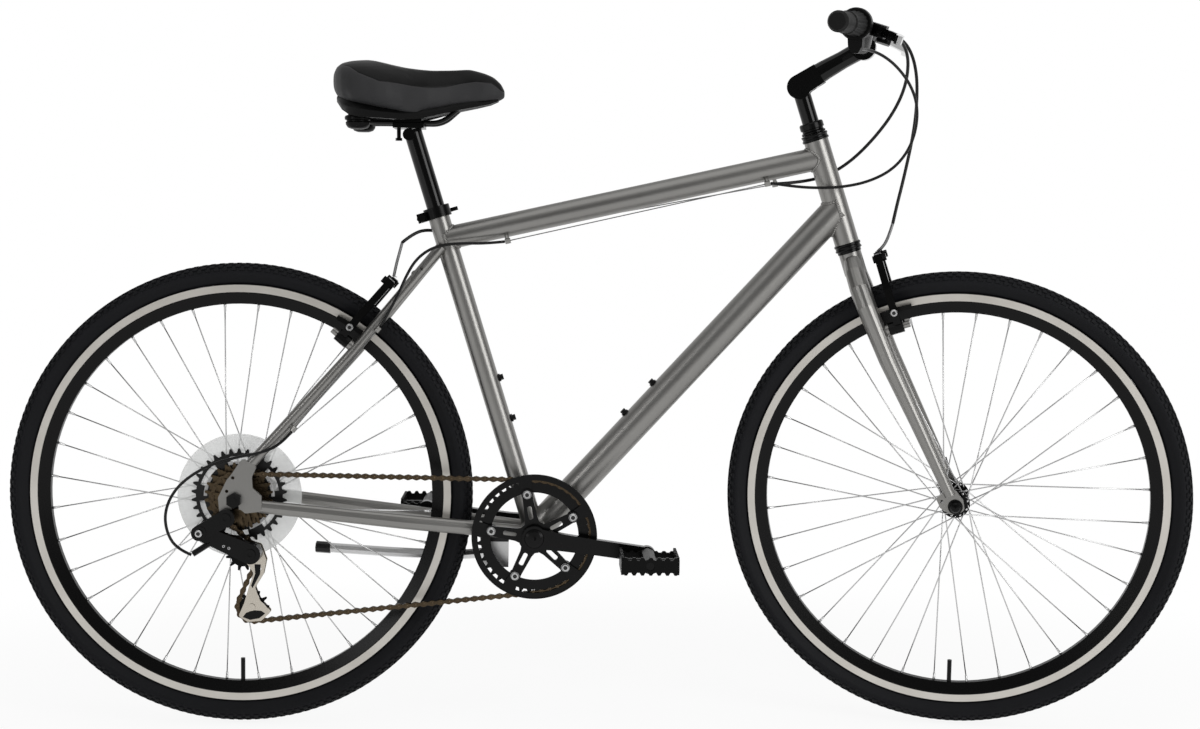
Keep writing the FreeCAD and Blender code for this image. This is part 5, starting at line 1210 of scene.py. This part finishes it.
bead_places = []
for weld in weld_joints:
    line = joint_line(*weld)
    for k, (place, out) in enumerate(line):
        forward = line[(k + 1) % len(line)][0] - line[k - 1][0]
        bead_places.append((place * MM, basis(forward, out), bead_size))
beads = along("weld_beads", bead_places, bead_shape(), looks["frame_paint"])
settle(beads, "frame")

# %% [markdown]
# ## Screws
# Bright screws catch the eye on the dark parts: five on the chain ring, one on each brake pad and three on the gear
# mechanism. Each could be modelled in place. One head with a six-sided socket serves them all, at the size that each
# place needs, and one piece is made for each body that carries screws.

# %% Socket screws
def screw_steel():
    """Plated steel, with painted shade inside the head's socket, where the attribute socket is 1."""
    paint = Paint("screw_steel")
    fine = paint.noise(paint.place(), scale=900.0)
    # Painted shade: where the attribute socket is 1, the colour goes near black and the metal goes dull.
    depth = paint.attribute("socket")
    plated = paint.mix(fine, shade(0.46), shade(0.62))
    paint.coat(Base_Color=paint.mix(depth, plated, shade(0.01)), Metallic=1.0 - depth, Roughness=0.22 + fine * 0.1)
    return paint.material


screw_look = screw_steel()
head_rings = ((1.0, -0.3, 0), (1.0, 0.25, 0), (0.82, 0.45, 0), (0.56, 0.45, 0), (0.52, 0.40, 1), (0.48, 0.05, 1))
socket_reach, socket_flat = 0.6, 0.93
head_sides = 12


def screw_shape():
    """A head of radius 1 along Z, with a six-sided socket; its rings are (radius, height, in the socket), and the rings
    in the socket get painted shade.
    """
    points, socket_shade = [], []
    for radius, height, in_shaded_socket in head_rings:
        for k, (c, s) in enumerate(directions(head_sides)):
            reach = radius * (socket_flat if k % 2 and radius < socket_reach else 1.0)
            points.append((reach * c, reach * s, height))
            socket_shade.append(in_shaded_socket)
    shape = mesh_object("screw_head", points, tube_faces(len(head_rings), head_sides), smooth=False)
    # The attribute socket marks the rings where shade is painted inside the socket.
    shape.data.attributes.new("socket", "FLOAT", "POINT").data.foreach_set("value", socket_shade)
    return shape


front_axis = Vector(joints["front_wheel_spin"]["axis"]).normalized()
front_left = front_axis if front_axis.y > 0 else -front_axis
to_right, to_left = -across, across
pad_screw, ring_screw, mount_screw, stop_screw = 5.4, 6.0, 5.6, 2.3
ring_places = ((500.9, -61.3, 324.5), (432.2, -61.3, 358.0), (379.1, -61.3, 303.0), (415.0, -61.3, 235.6),
               (490.3, -61.3, 248.8))
screws = {
    "crank": [(place, to_right, ring_screw) for place in ring_places],
    "frame": [((-50, -88.6, 301), to_right, mount_screw), ((-15, -79.2, 281), to_right, stop_screw),
              ((-7, -79.2, 278), to_right, stop_screw)],
    "front_arm_right": [((974.2, -65.4, 634.8), -front_left, pad_screw)],
    "front_arm_left": [((998.1, 47.9, 642.6), front_left, pad_screw)],
    "rear_arm_right": [((168, -58.1, 605.3), to_right, pad_screw)],
    "rear_arm_left": [((168, 58.1, 605.3), to_left, pad_screw)],
}
for body, heads in screws.items():
    places = [(Vector(place) * MM, facing.to_track_quat("Z", "Y").to_matrix(), (size * MM,) * 3)
              for place, facing, size in heads]
    settle(along("screws_" + body, places, screw_shape(), screw_look), body)

# %% [markdown]
# ## Inlays of the gear mechanism
# The gear mechanism's pale side plate carries two black inlays. Paint on the plate would need a map, and the plate has
# windows there. So each inlay is a low plate of its own over a window. Its outline is measured along and across the
# line from the upper jockey wheel to the lower one, in millimetres.

# %% Inlays of the gear mechanism
inlay_outlines = ([(17, 16), (19, 25), (33, 21.5), (47, 10.5), (52, 6.5), (48, 5), (31, 14.5)],
                  [(85, 1), (88, 13), (93, 18), (98.5, 8), (98.5, -6), (92.5, -16), (87, -10)])
inlay_layers = ((-54.4, 0.0), (-56.2, 0.0), (-56.7, 0.8))


def inlay(outline, upper, lower):
    """Low plate with a drawn-in outer edge."""
    down = (lower - upper).normalized()
    forward = Vector((-down.z, 0, down.x))
    corners = [Vector(point) for point in outline]
    middle = sum(corners, Vector((0, 0))) / len(corners)
    points = []
    for depth, inset in inlay_layers:
        for corner in corners:
            drawn = corner + (middle - corner).normalized() * inset
            place = upper + (down * drawn.x + forward * drawn.y) * MM
            points.append(Vector((place.x, depth * MM, place.z)))
    return points, tube_faces(len(inlay_layers), len(corners))


jockey_wheels = [Vector(joints[name]["pos_m"]) for name in ("guide_wheel_spin", "tension_wheel_spin")]
inlays = mesh_object("cage_inlays", *join_lists([inlay(outline, *jockey_wheels) for outline in inlay_outlines]),
                     looks["black_metal"], smooth=False)
settle(inlays, "frame")
print("inlay faces", len(inlays.data.polygons))

# %% [markdown]
# ## Studio
# The photograph has a plain white background. More light would wash out the bicycle, so the floor and the air are white
# to the camera by their materials instead, and show as a pale studio in reflections. The floor keeps a faint shadow
# near the wheels.

# %% Floor and air
floor_height = -0.004
floor_corners = [(x, y, floor_height) for x, y in ((-7, -7), (8, -7), (8, 7), (-7, 7))]
floor_middle = 0.54
room_low, room_rise, backdrop_fall = 0.13, 0.22, 0.6


def pale_floor():
    """Pale floor, white to the camera and in reflections away from the wheels."""
    material = bpy.data.materials.new("floor_pale")
    material.use_nodes = True
    tree = Tree(material.node_tree)
    tree.tree.nodes.clear()
    place = tree.node("ShaderNodeTexCoord", output="Object")
    x, y = tree.part(place, "X") - floor_middle, tree.part(place, "Y")
    far = (x * x * 0.5 + y * y).ramp(0.15, 1.6)
    seen, mirrored, through = (tree.node("ShaderNodeLightPath", output=ray)
                               for ray in ("Is Camera Ray", "Is Glossy Ray", "Is Transmission Ray"))
    white = tree.node("ShaderNodeEmission", {"Color": shade(1.0), "Strength": 1.0})
    matt = tree.node("ShaderNodeBsdfDiffuse", {"Color": shade(0.85)})
    share = (seen + mirrored + through) * (0.90 + far * 0.10)
    tree.node("ShaderNodeOutputMaterial", {0: tree.node("ShaderNodeMixShader", {0: share, 1: matt, 2: white})})
    return material


def studio_air():
    """White to the camera; around the object a white backdrop behind it and a dimmer room on the camera's side."""
    scene.world = bpy.data.worlds.new("studio")
    scene.world.use_nodes = True
    tree = Tree(scene.world.node_tree)
    tree.tree.nodes.clear()
    place = tree.node("ShaderNodeTexCoord", output="Generated")
    y, z = tree.part(place, "Y"), tree.part(place, "Z")
    room = room_low + z.ramp(0.15, 0.9) * room_rise
    backdrop = y.ramp(-0.15, 0.40) * (1.0 - z.ramp(0.15, 0.65) * backdrop_fall)
    level = room + backdrop * (1.0 - room)
    seen = tree.node("ShaderNodeLightPath", output="Is Camera Ray")
    around_it = tree.node("ShaderNodeBackground", {"Color": shade(1.0), "Strength": level})
    white = tree.node("ShaderNodeBackground", {"Color": shade(1.0), "Strength": 1.0})
    tree.node("ShaderNodeOutputWorld", {0: tree.node("ShaderNodeMixShader", {0: seen, 1: around_it, 2: white})})


mesh_object("floor", floor_corners, [(0, 1, 2, 3)], pale_floor(), smooth=False)
studio_air()
print("floor at", floor_height, "m")

# %% [markdown]
# Three soft lamps shape the tubes: a wide one above, a tall one at the right and a weaker one at the left.

# %% Lamps
def lamp(name, place, target, width, height, power):
    data = bpy.data.lights.new(name, "AREA")
    data.shape = "RECTANGLE"
    data.size = width
    data.size_y = height
    data.energy = power
    made = bpy.data.objects.new(name, data)
    made.location = place
    made.rotation_euler = (Vector(target) - Vector(place)).to_track_quat("-Z", "Y").to_euler()
    scene.collection.objects.link(made)


lamp("lamp_above", place=(0.5, -0.9, 2.9), target=(0.5, 0.0, 0.5), width=3.4, height=2.4, power=20)
lamp("lamp_right", place=(2.6, -2.1, 1.4), target=(0.6, 0.0, 0.6), width=1.5, height=1.9, power=42)
lamp("lamp_left", place=(-1.9, -2.5, 1.4), target=(0.4, 0.0, 0.6), width=0.7, height=1.7, power=16)
print("lamps", len(bpy.data.lights))
